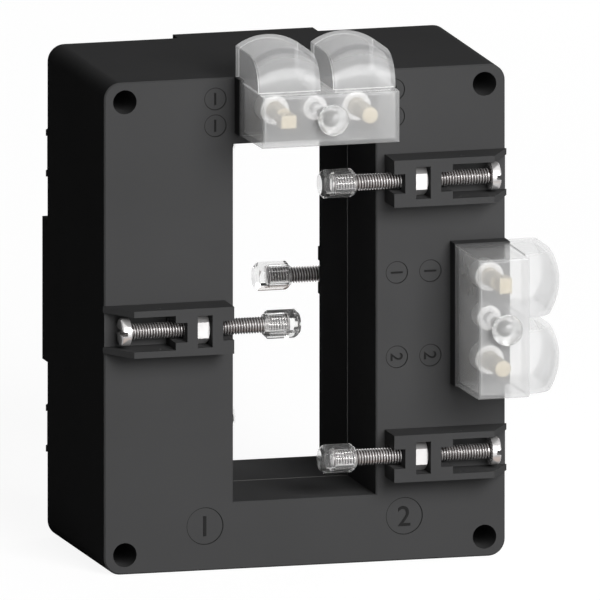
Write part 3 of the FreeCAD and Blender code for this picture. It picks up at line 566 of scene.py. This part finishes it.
def core_steel():
    """Wound silicon steel strip, whose edges show as fine lines."""
    finish, settings = new_finish("core_steel", "housing")
    layers = finish.stretched(finish.place(), scale=(1.0, 0.02, 1.0))
    lines = finish.noise(layers, settings.strip, detail=1.0)
    tone = finish.varied(lines, settings.steel, low=0.7, high=1.1)
    return finish.plain(Base_Color=tone, Metallic=1.0, Roughness=uneven(0.35, (lines, 0.2)))


def winding_tape():
    """Varnished tape in overlapping turns along each coil, which climb a little across it."""
    finish, settings = new_finish("winding_tape", "housing")
    place = finish.place()
    turns_per_metre, weave_share = 12.0, 0.2
    climb = finish.part(place, "Z") / settings.tape_width
    turn = (climb + finish.part(place, "X") * turns_per_metre).fraction()
    lap = turn.within(low=0.0, high=0.12)
    weave = finish.noise(place, size=0.0008, detail=3.0)
    pattern = lap * (1 - weave_share) + weave * weave_share
    return finish.plain(
        Base_Color=finish.varied(pattern, settings.tape, low=0.6, high=1.1),
        Roughness=uneven(0.30, (weave, 0.2)),
        Normal=finish.bump(lap + weave * weave_share, distance=0.00015, strength=0.7),
    )


def lead_sleeve():
    """Woven insulating sleeve on the leads."""
    finish, settings = new_finish("lead_sleeve", "housing")
    weave = finish.noise(finish.place(), size=0.0005)
    return finish.plain(
        Base_Color=finish.varied(weave, settings.sleeve, low=0.8, high=1.1),
        Roughness=uneven(0.6, (weave, 0.2)),
        Normal=finish.bump(weave, distance=0.0001, strength=0.6),
    )


FINISHES = {
    "housing": black_plastic,
    "core_steel": core_steel,
    "winding_tape": winding_tape,
    "lead_sleeve": lead_sleeve,
    "plated_steel": plated_steel,
    "clear_plastic": clear_plastic,
    "milky_plastic": milky_plastic,
    "nickel": nickel_plate,
    "terminal_brass": pale_brass,
    "seal": seal_plastic,
    "mark": mark_plastic,
    "seam": seam_plastic,
}
made = {}


def finish_for(name):
    """The material of one of the record's slots or of a detail, made once."""
    if name not in made:
        made[name] = FINISHES[name]()
    return made[name]


# Surfaces. Each shape is a grid of points, worked out as whole arrays and joined by four-sided faces.


def grid(points, wrap_rows=False, wrap_columns=True):
    """A surface through rows and columns of points: its vertices, and a face for each cell of the grid.

    Wrapping joins the last row or column to the first. A row whose points are all the same is a pole.
    """
    rows, columns = points.shape[:2]
    index = np.arange(rows * columns).reshape(rows, columns)
    if wrap_rows:
        index = np.vstack([index, index[:1]])
    if wrap_columns:
        index = np.hstack([index, index[:, :1]])
    faces = np.stack([index[:-1, :-1], index[:-1, 1:], index[1:, 1:], index[1:, :-1]], -1)
    return points.reshape(-1, 3), faces.reshape(-1, 4)


def rounded(corners, radii, closed=False, least_step=1e-9):
    """A profile with its corners rounded.

    Each corner gives way to a curve that leaves its first side and joins its second one radius away from it.
    With t from 0 to 1 along the curve, the weights of the start, the corner and the end are the square of
    1 less t, twice t times 1 less t, and the square of t.
    """
    corners = np.asarray(corners, float)
    radii = np.broadcast_to(np.asarray(radii, float), len(corners)).copy()
    if not closed:
        radii[[0, -1]] = 0
    before, after = np.roll(corners, 1, 0) - corners, np.roll(corners, -1, 0) - corners
    start = corners + before / np.linalg.norm(before, axis=1)[:, None] * radii[:, None]
    end = corners + after / np.linalg.norm(after, axis=1)[:, None] * radii[:, None]
    t = np.linspace(0, 1, ROUND_STEPS)[None, :, None]
    curve = (1 - t) ** 2 * start[:, None] + 2 * t * (1 - t) * corners[:, None] + t**2 * end[:, None]
    points = curve.reshape(-1, 2)
    step = np.linalg.norm(points - np.roll(points, 1, 0), axis=1) > least_step
    return points[step] if closed else points[np.r_[True, step[1:]]]


def about_axis(radius, angle, height):
    """Points at their distances from the axis, angles round it and heights along it."""
    return np.stack(np.broadcast_arrays(radius * np.cos(angle), radius * np.sin(angle), height), -1)


def lathe(profile, around=64):
    """A surface of revolution: each profile point's radius is carried round the axis at its own height."""
    radius, height = np.asarray(profile, float).T[:, :, None]
    return about_axis(radius, np.arange(around) / around * FULL_TURN, height)


def closed_ends(loops):
    """Loops of points with a pole added at each end, at the middle of the first loop and of the last."""
    first, last = (np.broadcast_to(loop.mean(0), loop.shape) for loop in (loops[0], loops[-1]))
    return np.concatenate([first[None], loops, last[None]])


def thread_rod(settings, start, end, around=40, across=10, root_flat=0.22, flank=0.66):
    """A right-handed screw thread from one height to another.

    Along the thread a point climbs one pitch in each turn. Across it the radius goes by the distance from
    the middle of the groove, as a share of half a pitch: up to root_flat it is the root's, over the flank it
    rises, and beyond that it is the crest's. The depth fades out at both ends, and the tip is bevelled.
    """
    crest, root = settings.thread_diameter / 2, settings.thread_root / 2
    turns = (end - start) / settings.pitch + 1
    along = np.arange(math.ceil(turns * around) + 1)[:, None] / around
    section = np.linspace(0, 1, across + 1)[None, :]
    height = np.clip(start + (along + section - 1) * settings.pitch, start, end)
    rise = np.clip((np.abs(2 * section - 1) - root_flat) / flank, 0, 1)
    fade_in = np.clip((height - start) / settings.pitch, 0, 1)
    fade_out = np.clip((end - height) / settings.pitch * 2, 0, 1)
    radius = root + (crest - root) * rise * (fade_in * fade_out)
    radius = np.minimum(radius, crest - settings.tip_bevel + (end - height))
    return about_axis(radius, along * FULL_TURN, height)


def head_half(settings, radius, side, across=40, slot_flare=0.35):
    """One half of a slotted head: a flat-sided disc above or below the slot, with a rounded rim.

    Each loop is an arc of the head's circle, closed by the slot's straight wall. Towards the face the loops
    draw in by the rounding times 1 less the cosine of its angle, and rise by the rounding times the sine.
    """
    turn = np.linspace(0, QUARTER_TURN, ROUND_STEPS)
    inset = np.r_[0, settings.head_round * (1 - np.cos(turn))][:, None]
    height = np.r_[settings.slot_depth, settings.head_round * (1 - np.sin(turn))][:, None]
    wall = settings.slot_width / 2 + inset * slot_flare
    reach = radius - inset
    low = np.arcsin(wall / reach)
    angle = low + (math.pi - 2 * low) * np.linspace(0, 1, across)
    loops = np.stack(np.broadcast_arrays(side * reach * np.sin(angle), reach * np.cos(angle), height), -1)
    return closed_ends(loops)


def hexagon_radius(flats, angle):
    """Distance from a hexagon's middle to its side at an angle, with a corner at angle nought."""
    corner_to_corner = FULL_TURN / HEX_SIDES
    return flats / 2 / np.cos(np.mod(angle, corner_to_corner) - corner_to_corner / 2)


def cap_surface(settings, long, around=72, mouth=0.0003):
    """A hexagonal cap with bevelled corners and a blind bore that ends in a drilled point.

    The rows run from the bore's point out over the mouth and along the outside to the closed end. The bevels
    are cones, and each meets the hexagon where the cone's radius is the hexagon's.
    """
    angle = (np.arange(around) / around * FULL_TURN)[None, :]
    outside = hexagon_radius(settings.cap_flats, angle)
    face = settings.cap_flats / 2 - settings.cap_bevel
    bevel = outside - face
    bore = settings.cap_bore / 2
    depth = long - settings.cap_wall
    rows = [
        (0, depth),
        (bore, depth - settings.cap_point),
        (bore, mouth),
        (bore + mouth, 0),
        (face, 0),
        (outside, bevel),
        (outside, long - bevel),
        (face, long),
        (0, long),
    ]
    radius, height = (np.concatenate([value + 0 * angle for value in values]) for values in zip(*rows))
    return about_axis(radius, angle, height)


@contextmanager
def edited(mesh):
    """Opens a mesh for editing, and writes it back at the end."""
    work = bmesh.new()
    work.from_mesh(mesh)
    yield work
    work.to_mesh(mesh)
    work.free()


def merged(surfaces, place, same_point=2e-6, no_length=1e-7):
    """One mesh from several grids, set in place: doubles merged, holes closed and faces turned outwards."""
    mesh = bpy.data.meshes.new("surface")
    vertices, faces, start = [], [], 0
    for points, quads in surfaces:
        vertices.append(points)
        faces.append(quads + start)
        start += len(points)
    turn = np.array(place.to_3x3())
    placed = np.concatenate(vertices) @ turn.T + np.array(place.translation)
    mesh.from_pydata(placed, [], np.concatenate(faces))
    with edited(mesh) as work:
        bmesh.ops.remove_doubles(work, verts=work.verts, dist=same_point)
        bmesh.ops.dissolve_degenerate(work, edges=work.edges, dist=no_length)
        bmesh.ops.holes_fill(work, edges=[edge for edge in work.edges if edge.is_boundary], sides=0)
        bmesh.ops.recalc_face_normals(work, faces=work.faces)
    return mesh


def coordinates(mesh):
    """A mesh's points, one in each row."""
    points = np.empty(len(mesh.vertices) * 3)
    mesh.vertices.foreach_get("co", points)
    return points.reshape(-1, 3)


def write_thread_depth(mesh, place, settings, start, end, at_crest=0.1):
    """Keeps with each point its depth in the thread, from at_crest to 1 at the root, and 0 elsewhere."""
    inverse = np.array(place.inverted())
    local = coordinates(mesh) @ inverse[:3, :3].T + inverse[:3, 3]
    distance = np.hypot(local[:, 0], local[:, 1])
    crest, root = settings.thread_diameter / 2, settings.thread_root / 2
    depth = at_crest + (1 - at_crest) * np.clip((crest - distance) / (crest - root), 0, 1)
    depth[(local[:, 2] < start) | (local[:, 2] > end)] = 0
    mesh.attributes.new(THREAD_DEPTH, "FLOAT", "POINT").data.foreach_set("value", depth.astype(np.float32))


def shade(mesh, sharp_angle):
    """Smooth over curves and sharp at edges."""
    mesh.shade_smooth()
    mesh.set_sharp_from_angle(angle=math.radians(sharp_angle))


def new_object(name, data):
    """A new object in the scene."""
    item = bpy.data.objects.new(name, data)
    bpy.context.scene.collection.objects.link(item)
    return item


def add_piece(name, mesh, slot, body, nodes=(), sharp_angle=28, finish=None):
    """A finished piece: its mesh becomes an object that rides on a body and stands for its nodes."""
    shade(mesh, sharp_angle)
    mesh.name = name
    piece = new_object(name, mesh)
    mesh.materials.clear()
    mesh.materials.append(finish_for(finish or slot))
    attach(piece, body)
    if nodes:
        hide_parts(*nodes)
    return piece


def round_edges(piece, width, least_angle=25):
    """Rounds a piece's sharp edges by a distance."""
    edges = piece.modifiers.new("Rounded edges", "BEVEL")
    edges.width = width
    edges.segments = 2
    edges.limit_method = "ANGLE"
    edges.angle_limit = math.radians(least_angle)


def joined_copy(node, name, slot, body, sharp_angle=28, rounding=0, same_point=1e-6):
    """A copy of a CAD node with its triangles joined, for smooth shading over its curves."""
    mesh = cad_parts[node].data.copy()
    with edited(mesh) as work:
        bmesh.ops.remove_doubles(work, verts=work.verts, dist=same_point)
    for layer in ("custom_normal", "sharp_edge"):
        if layer in mesh.attributes:
            mesh.attributes.remove(mesh.attributes[layer])
    piece = add_piece(name, mesh, slot, body, (node,), sharp_angle)
    if rounding:
        round_edges(piece, rounding)
    even = piece.modifiers.new("Even shading", "WEIGHTED_NORMAL")
    even.keep_sharp = True
    return piece


def paint_node(node, slot):
    """Gives a CAD node that stays its finish."""
    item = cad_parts[node]
    if not item.material_slots:
        item.data.materials.append(None)
    for holder in item.material_slots:
        holder.material = finish_for(slot)


def axes(origin, x, y, z):
    """A placement with its three axes given as vectors."""
    return Matrix.Translation(Vector(origin)) @ Matrix((x, y, z)).transposed().to_4x4()


def clamp_place(key):
    """A clamp set's placement, its Z along the screw from the head's face inwards, with two of its sizes.

    The two sizes are the screw's length and its head's radius.
    """
    low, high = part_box(f"clamp_screw_{key}")
    middle = (low + high) / 2
    side = math.copysign(1, middle.x)
    head = low.x if side < 0 else high.x
    place = axes((head, middle.y, middle.z), (0, 0, side), (0, 1, 0), (-side, 0, 0))
    return place, high.x - low.x, (high.y - low.y) / 2


def forwards(node):
    """The placement of a piece at the middle of its back, its Z forwards, and its length and radius."""
    low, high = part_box(node)
    middle = (low + high) / 2
    place = axes((middle.x, high.y, middle.z), (1, 0, 0), (0, 0, 1), (0, -1, 0))
    return place, high.y - low.y, (high.x - low.x) / 2


class OBJECT_OT_transformer_housing(bpy.types.Operator):
    """Dress the two moulded half shells"""

    bl_idname = "object.transformer_housing"
    bl_label = "Housing"
    bl_options = {"REGISTER", "UNDO"}

    def execute(self, context):
        for node in SHELLS:
            joined_copy(node, f"moulded_{node}", "housing", "housing")
        self.seam(context.scene.transformer_housing)
        return {"FINISHED"}

    @staticmethod
    def seam(settings):
        """The paler line round the inside of the bar window, at the housing's middle plane.

        Its cross-section is a rectangle from just under the wall to seam_rise above it. Each of its points
        goes round the window's four corners, drawn in by its own distance out of the wall.
        """
        low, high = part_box("front_shell")
        section = SQUARE * (settings.seam_rise, settings.seam_width / 2)
        inset = section[:, :1]
        x = SQUARE[None, :, 0] * (settings.window_width / 2 - inset)
        z = (low.z + high.z) / 2 + SQUARE[None, :, 1] * (settings.window_height / 2 - inset)
        points = np.stack(np.broadcast_arrays(x, section[:, 1:], z), -1)
        mesh = merged([grid(points, wrap_rows=True)], Matrix.Identity(4))
        add_piece("window_seam", mesh, "housing", "housing", finish="seam")


class OBJECT_OT_transformer_marks(bpy.types.Operator):
    """Raise the plain numbers in the terminals' discs"""

    bl_idname = "object.transformer_marks"
    bl_label = "Marks"
    bl_options = {"REGISTER", "UNDO"}

    def execute(self, context):
        settings, housing = context.scene.transformer_marks, context.scene.transformer_housing
        low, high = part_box("front_shell")
        right, top, middle = housing.width / 2, high.z, (low.z + high.z) / 2
        floor = settings.relief - housing.depth / 2
        upright = ((1, 0, 0), (0, 0, 1), (0, -1, 0))
        turned = ((0, 0, -1), (1, 0, 0), (0, -1, 0))
        small = (settings.small_height, settings.small_disc)
        large = (settings.large_height, settings.large_disc)
        marks = []
        for digit, side in (("1", -1), ("2", 1)):
            for row in (0, 1):
                level = top - settings.top_inset - row * settings.top_pitch
                across = right - settings.side_inset - row * settings.side_pitch
                marks.append((digit, small, side * settings.column, level, upright))
                marks.append((digit, small, across, middle - side * settings.side_spacing / 2, turned))
            marks.append((digit, large, side * settings.large_offset, settings.large_rise, upright))
        for number, (digit, (tall, disc), x, z, way) in enumerate(marks):
            place = axes((x, floor, z), *way)
            mesh = self.digit(digit, tall, settings.relief)
            mesh.transform(place)
            add_piece(f"raised_number_{number:02d}", mesh, "housing", "housing", finish="mark")
            # A thin dark ring of painted shade round the disc's recessed edge.
            outside, thick = disc / 2 - settings.gap_thickness, settings.gap_thickness
            inside = outside - settings.gap_width
            profile = [(inside, 0), (outside, 0), (outside, thick), (inside, thick)]
            ring = merged([grid(lathe(profile), wrap_rows=True)], place)
            add_piece(f"disc_gap_{number:02d}", ring, "housing", "housing", finish="mark")
        return {"FINISHED"}

    @staticmethod
    def digit(text, tall, relief, same_point=1e-7):
        """A raised number centred on its own place, standing on the disc's floor."""
        curve = bpy.data.curves.new("number", "FONT")
        curve.body = text
        curve.extrude = 0.5
        holder = new_object("number", curve)
        bpy.context.view_layer.update()
        mesh = bpy.data.meshes.new_from_object(holder)
        bpy.data.objects.remove(holder)
        points = coordinates(mesh)
        low, high = points.min(0), points.max(0)
        scale = tall / (high[1] - low[1])
        points[:, :2] = (points[:, :2] - (low[:2] + high[:2]) / 2) * scale
        points[:, 2] = (points[:, 2] - low[2]) / (high[2] - low[2]) * relief
        mesh.vertices.foreach_set("co", points.ravel())
        with edited(mesh) as work:
            bmesh.ops.remove_doubles(work, verts=work.verts, dist=same_point)
            bmesh.ops.recalc_face_normals(work, faces=work.faces)
        return mesh


class OBJECT_OT_transformer_coils(bpy.types.Operator):
    """Finish the core, the windings and their leads"""

    bl_idname = "object.transformer_coils"
    bl_label = "Core and windings"
    bl_options = {"REGISTER", "UNDO"}

    def execute(self, context):
        paint_node("core", "core_steel")
        for node in ("winding_left", "winding_right"):
            paint_node(node, "winding_tape")
        for bay in BAYS:
            for terminal in TERMINALS:
                paint_node(f"lead_{bay}_{terminal}", "lead_sleeve")
        paint_node("winding_link", "lead_sleeve")
        return {"FINISHED"}


class OBJECT_OT_transformer_screws(bpy.types.Operator):
    """Make the threaded clamp screws"""

    bl_idname = "object.transformer_screws"
    bl_label = "Clamp screws"
    bl_options = {"REGISTER", "UNDO"}

    def execute(self, context):
        settings = context.scene.transformer_clamps
        floor, back = settings.slot_depth, settings.head_height
        for key in CLAMPS:
            place, long, radius = clamp_place(key)
            disc = rounded([(0, floor), (radius, floor), (radius, back), (0, back)], [0, 0, SMALL_ROUND, 0])
            surfaces = [grid(lathe(disc)), grid(thread_rod(settings, back, long), wrap_columns=False)]
            surfaces += [grid(head_half(settings, radius, side)) for side in (-1, 1)]
            mesh = merged(surfaces, place)
            write_thread_depth(mesh, place, settings, back, long - settings.tip_bevel)
            add_piece(
                f"threaded_screw_{key}", mesh, "plated_steel", f"screw_{key}", (f"clamp_screw_{key}",),
                sharp_angle=40,
            )
        return {"FINISHED"}


class OBJECT_OT_transformer_nuts(bpy.types.Operator):
    """Dress the hexagon nuts in the brackets"""

    bl_idname = "object.transformer_nuts"
    bl_label = "Clamp nuts"
    bl_options = {"REGISTER", "UNDO"}

    def execute(self, context):
        for key in CLAMPS:
            joined_copy(f"clamp_nut_{key}", f"plated_nut_{key}", "plated_steel", "housing")
        return {"FINISHED"}


class OBJECT_OT_transformer_caps(bpy.types.Operator):
    """Make the clear insulating caps"""

    bl_idname = "object.transformer_caps"
    bl_label = "Insulating caps"
    bl_options = {"REGISTER", "UNDO"}

    def execute(self, context):
        settings = context.scene.transformer_clamps
        for key in CLAMPS:
            node = f"insulating_cap_{key}"
            place = clamp_place(key)[0]
            low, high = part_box(node)
            inwards = place.to_3x3() @ Vector((0, 0, 1))
            mouth = low.x if inwards.x > 0 else high.x
            place = Matrix.Translation(Vector((mouth - place.translation.x, 0, 0))) @ place
            mesh = merged([grid(cap_surface(settings, high.x - low.x))], place)
            piece = add_piece(
                f"clear_cap_{key}", mesh, "clear_plastic", f"cap_{key}", (node,), sharp_angle=20,
            )
            round_edges(piece, settings.cap_round)
        return {"FINISHED"}


class OBJECT_OT_transformer_covers(bpy.types.Operator):
    """Dress the milky terminal covers"""

    bl_idname = "object.transformer_covers"
    bl_label = "Terminal covers"
    bl_options = {"REGISTER", "UNDO"}

    def execute(self, context):
        for bay in BAYS:
            joined_copy(
                f"terminal_cover_{bay}", f"hooded_cover_{bay}", "milky_plastic", "housing", sharp_angle=24,
            )
        return {"FINISHED"}


class OBJECT_OT_transformer_terminals(bpy.types.Operator):
    """Make the studs, cages, collars and sockets under the covers"""

    bl_idname = "object.transformer_terminals"
    bl_label = "Terminals"
    bl_options = {"REGISTER", "UNDO"}

    def execute(self, context):
        settings = context.scene.transformer_terminals
        for bay in BAYS:
            for terminal in TERMINALS:
                self.collar(settings, f"{bay}_{terminal}")
                self.stud(settings, f"{bay}_{terminal}", terminal == TERMINALS[0])
            joined_copy(
                f"terminal_block_{bay}", f"brass_cage_{bay}", "terminal_brass", "housing",
                rounding=settings.cage_round,
            )
            self.socket(settings, bay)
        return {"FINISHED"}

    @staticmethod
    def collar(settings, key):
        """The wire collar, a bored ring with a rounded front edge."""
        place, long, radius = forwards(f"terminal_collar_{key}")
        inside = settings.collar_bore / 2
        profile = rounded(
            [(inside, 0), (radius, 0), (radius, long), (inside, long)],
            [FINE_ROUND, FINE_ROUND, settings.collar_round, SMALL_ROUND], closed=True,
        )
        mesh = merged([grid(lathe(profile), wrap_rows=True)], place)
        add_piece(f"wire_collar_{key}", mesh, "nickel", "housing", (f"terminal_collar_{key}",))

    @staticmethod
    def stud(settings, key, with_cage):
        """The terminal stud on its tail, with a spigot where it carries a cage."""
        place, long, radius = forwards(f"terminal_stud_{key}")
        tail, seat = settings.tail_diameter / 2, settings.tail_length
        end = long - settings.spigot_length if with_cage else long
        corners = [(0, 0), (tail, 0), (tail, seat), (radius, seat), (radius, end)]
        radii = [0, SMALL_ROUND, 0, FINE_ROUND, settings.stud_round]
        if with_cage:
            spigot = settings.spigot_diameter / 2
            corners += [(spigot, end), (spigot, long)]
            radii += [0, FINE_ROUND]
        corners += [(0, long)]
        radii += [0]
        mesh = merged([grid(lathe(rounded(corners, radii)))], place)
        add_piece(f"brass_stud_{key}", mesh, "terminal_brass", "housing", (f"terminal_stud_{key}",))

    @staticmethod
    def socket(settings, bay, rim_round=0.0006, mouth_round=0.0004):
        """The bored socket for the seal screw, on its root."""
        place, long, radius = forwards(f"seal_socket_{bay}")
        root, bore = settings.socket_root / 2, settings.socket_bore / 2
        step, floor = settings.socket_root_depth, settings.socket_floor
        profile = rounded(
            [(0, 0), (root, 0), (root, step), (radius, step), (radius, long), (bore, long), (bore, floor),
             (0, floor)],
            [0, FINE_ROUND, 0, FINE_ROUND, rim_round, mouth_round, 0, 0],
        )
        mesh = merged([grid(lathe(profile))], place)
        add_piece(f"nickel_socket_{bay}", mesh, "nickel", "housing", (f"seal_socket_{bay}",))


class OBJECT_OT_transformer_seals(bpy.types.Operator):
    """Make the clear round-headed seal screws"""

    bl_idname = "object.transformer_seals"
    bl_label = "Seal screws"
    bl_options = {"REGISTER", "UNDO"}

    def execute(self, context):
        settings = context.scene.transformer_terminals
        for bay in BAYS:
            node = f"seal_screw_{bay}"
            place, long, radius = forwards(node)
            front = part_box(f"terminal_cover_{bay}")[0].y
            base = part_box(node)[1].y - front
            half = long - base - settings.head_lift
            low = math.asin((settings.seal_gap - settings.head_lift) / half)
            underside = base + settings.seal_gap
            turn = np.linspace(low, QUARTER_TURN, BALL_STEPS)
            shank = settings.shank_diameter / 2
            profile = np.concatenate([
                rounded([(0, 0), (shank, 0), (shank, underside)], [0, SMALL_ROUND, 0]),
                np.stack([radius * np.cos(turn), base + settings.head_lift + half * np.sin(turn)], -1),
            ])
            mesh = merged([grid(lathe(profile))], place)
            add_piece(
                f"clear_seal_{bay}", mesh, "clear_plastic", "housing", (node,), sharp_angle=40, finish="seal",
            )
        return {"FINISHED"}


class OBJECT_OT_transformer_stage(bpy.types.Operator):
    """Set up the camera, the lamps, the room and the floor"""

    bl_idname = "object.transformer_stage"
    bl_label = "Stage"
    bl_options = {"REGISTER", "UNDO"}

    def execute(self, context):
        settings = context.scene.transformer_stage
        self.camera(settings)
        for name, way, distance, size in LAMPS:
            self.lamp(settings, name, Vector(way).normalized(), distance, size)
        self.room(settings)
        self.floor(settings)
        return {"FINISHED"}

    @staticmethod
    def facing(settings, way, distance):
        """A placement at a distance from the target along a way, turned to look back at it."""
        turn = way.to_track_quat("Z", "Y").to_matrix().to_4x4()
        return Matrix.Translation(Vector(settings.target) + way * distance) @ turn

    @classmethod
    def camera(cls, settings):
        """A camera with parallel projection, as the photograph has."""
        a, e = settings.azimuth, settings.elevation
        way = Vector((math.sin(a) * math.cos(e), -math.cos(a) * math.cos(e), math.sin(e)))
        data = bpy.data.cameras.new("picture")
        data.type = "ORTHO"
        data.ortho_scale = settings.picture_width
        camera = new_object("picture", data)
        camera.matrix_world = cls.facing(settings, way, settings.distance)
        bpy.context.scene.camera = camera

    @classmethod
    def lamp(cls, settings, name, way, distance, size):
        """A square soft lamp, which shows in mirrors only when it stands in front.

        Its power is its level times the squares of pi and of its distance, so that at level 1 a white surface
        that faces it renders as white.
        """
        data = bpy.data.lights.new(f"{name}_lamp", "AREA")
        data.shape = "SQUARE"
        data.size = size
        data.energy = getattr(settings, name) * math.pi**2 * distance**2
        lamp = new_object(f"{name}_lamp", data)
        lamp.matrix_world = cls.facing(settings, way, distance)
        lamp.visible_camera = False
        lamp.visible_glossy = way.y < 0

    @staticmethod
    def room(settings):
        """A white room with a warm floor, a dark seam over it and a grey stripe right round its back half.

        It shows in metal and glass. The camera itself sees plain white, and all other light is dim and even.
        """
        world = bpy.data.worlds.new("room")
        bpy.context.scene.world = world
        finish = Finish(world)
        way = finish.node("ShaderNodeTexCoord", output="Generated")
        half = 0.5
        height = finish.part(way, "Z") * half + half
        walls = finish.node("ShaderNodeValToRGB", {"stops": ROOM_STOPS}, {"Fac": height})
        behind = finish.part(way, "Y")
        stripe = behind.within(low=0.08, high=0.16) * (1 - behind.within(low=0.5, high=0.6))
        shown = finish.blend(stripe, walls, opaque(STRIPE))
        plain = finish.background(opaque(WHITE), strength=1.0)
        mirror = finish.background(shown, strength=1.0)
        dim = finish.background(opaque(WHITE), settings.room)
        seen = finish.mix(finish.ray("Glossy").larger(finish.ray("Transmission")), dim, mirror)
        both = finish.mix(finish.ray("Camera"), seen, plain)
        finish.node("ShaderNodeOutputWorld", None, {"Surface": both})

    @staticmethod
    def floor(settings):
        """A plain pale floor that shows as white and keeps the object's shadow."""
        half = settings.floor_size / 2
        mesh = bpy.data.meshes.new("floor")
        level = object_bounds()[0][2]
        mesh.from_pydata([(x * half, y * half, level) for x, y in SQUARE], [], [(0, 1, 2, 3)])
        finish, _ = new_finish("floor_paper", "stage")
        colour = finish.varied(finish.noise(finish.place(), size=0.02), settings.floor, low=0.99, high=1.01)
        lit = finish.node("ShaderNodeBsdfDiffuse", None, {"Color": colour})
        paper = finish.node("ShaderNodeEmission", None, {"Color": opaque(WHITE), "Strength": settings.paper})
        shown = finish.node("ShaderNodeAddShader", None, {0: lit, 1: paper})
        factor = finish.ray("Camera").larger(finish.ray("Transmission"))
        mesh.materials.append(finish.end(finish.mix(factor, lit, shown)))
        floor = new_object("floor", mesh)
        floor.visible_glossy = False
        floor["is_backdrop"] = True


OPERATORS = (
    OBJECT_OT_transformer_housing,
    OBJECT_OT_transformer_marks,
    OBJECT_OT_transformer_coils,
    OBJECT_OT_transformer_screws,
    OBJECT_OT_transformer_nuts,
    OBJECT_OT_transformer_caps,
    OBJECT_OT_transformer_covers,
    OBJECT_OT_transformer_terminals,
    OBJECT_OT_transformer_seals,
    OBJECT_OT_transformer_stage,
)
SETTINGS = {
    "transformer_housing": HousingSettings,
    "transformer_marks": MarkSettings,
    "transformer_clamps": ClampSettings,
    "transformer_terminals": TerminalSettings,
    "transformer_stage": StageSettings,
}


class VIEW3D_PT_transformer(bpy.types.Panel):
    """Lists the transformer's settings and pieces"""

    bl_idname = "VIEW3D_PT_transformer"
    bl_label = "Window Current Transformer"
    bl_space_type = "VIEW_3D"
    bl_region_type = "UI"
    bl_category = "Transformer"

    def draw(self, context):
        for name, group in SETTINGS.items():
            box = self.layout.box()
            box.label(text=group.__doc__)
            for key in group.__annotations__:
                box.prop(getattr(context.scene, name), key)
        for operator in OPERATORS:
            self.layout.operator(operator.bl_idname)


def register():
    """Registers every class and gives each scene its settings."""
    for item in (*SETTINGS.values(), *OPERATORS, VIEW3D_PT_transformer):
        bpy.utils.register_class(item)
    for name, group in SETTINGS.items():
        setattr(bpy.types.Scene, name, bpy.props.PointerProperty(type=group))


def unregister():
    """Takes the settings and the classes away again."""
    for name in SETTINGS:
        delattr(bpy.types.Scene, name)
    for item in reversed((*SETTINGS.values(), *OPERATORS, VIEW3D_PT_transformer)):
        bpy.utils.unregister_class(item)


def main():
    """Makes every piece and the stage."""
    register()
    bpy.context.scene.view_settings.view_transform = "Standard"
    for operator in OPERATORS:
        group, call = operator.bl_idname.split(".")
        getattr(getattr(bpy.ops, group), call)()


if __name__ == "__main__":
    main()
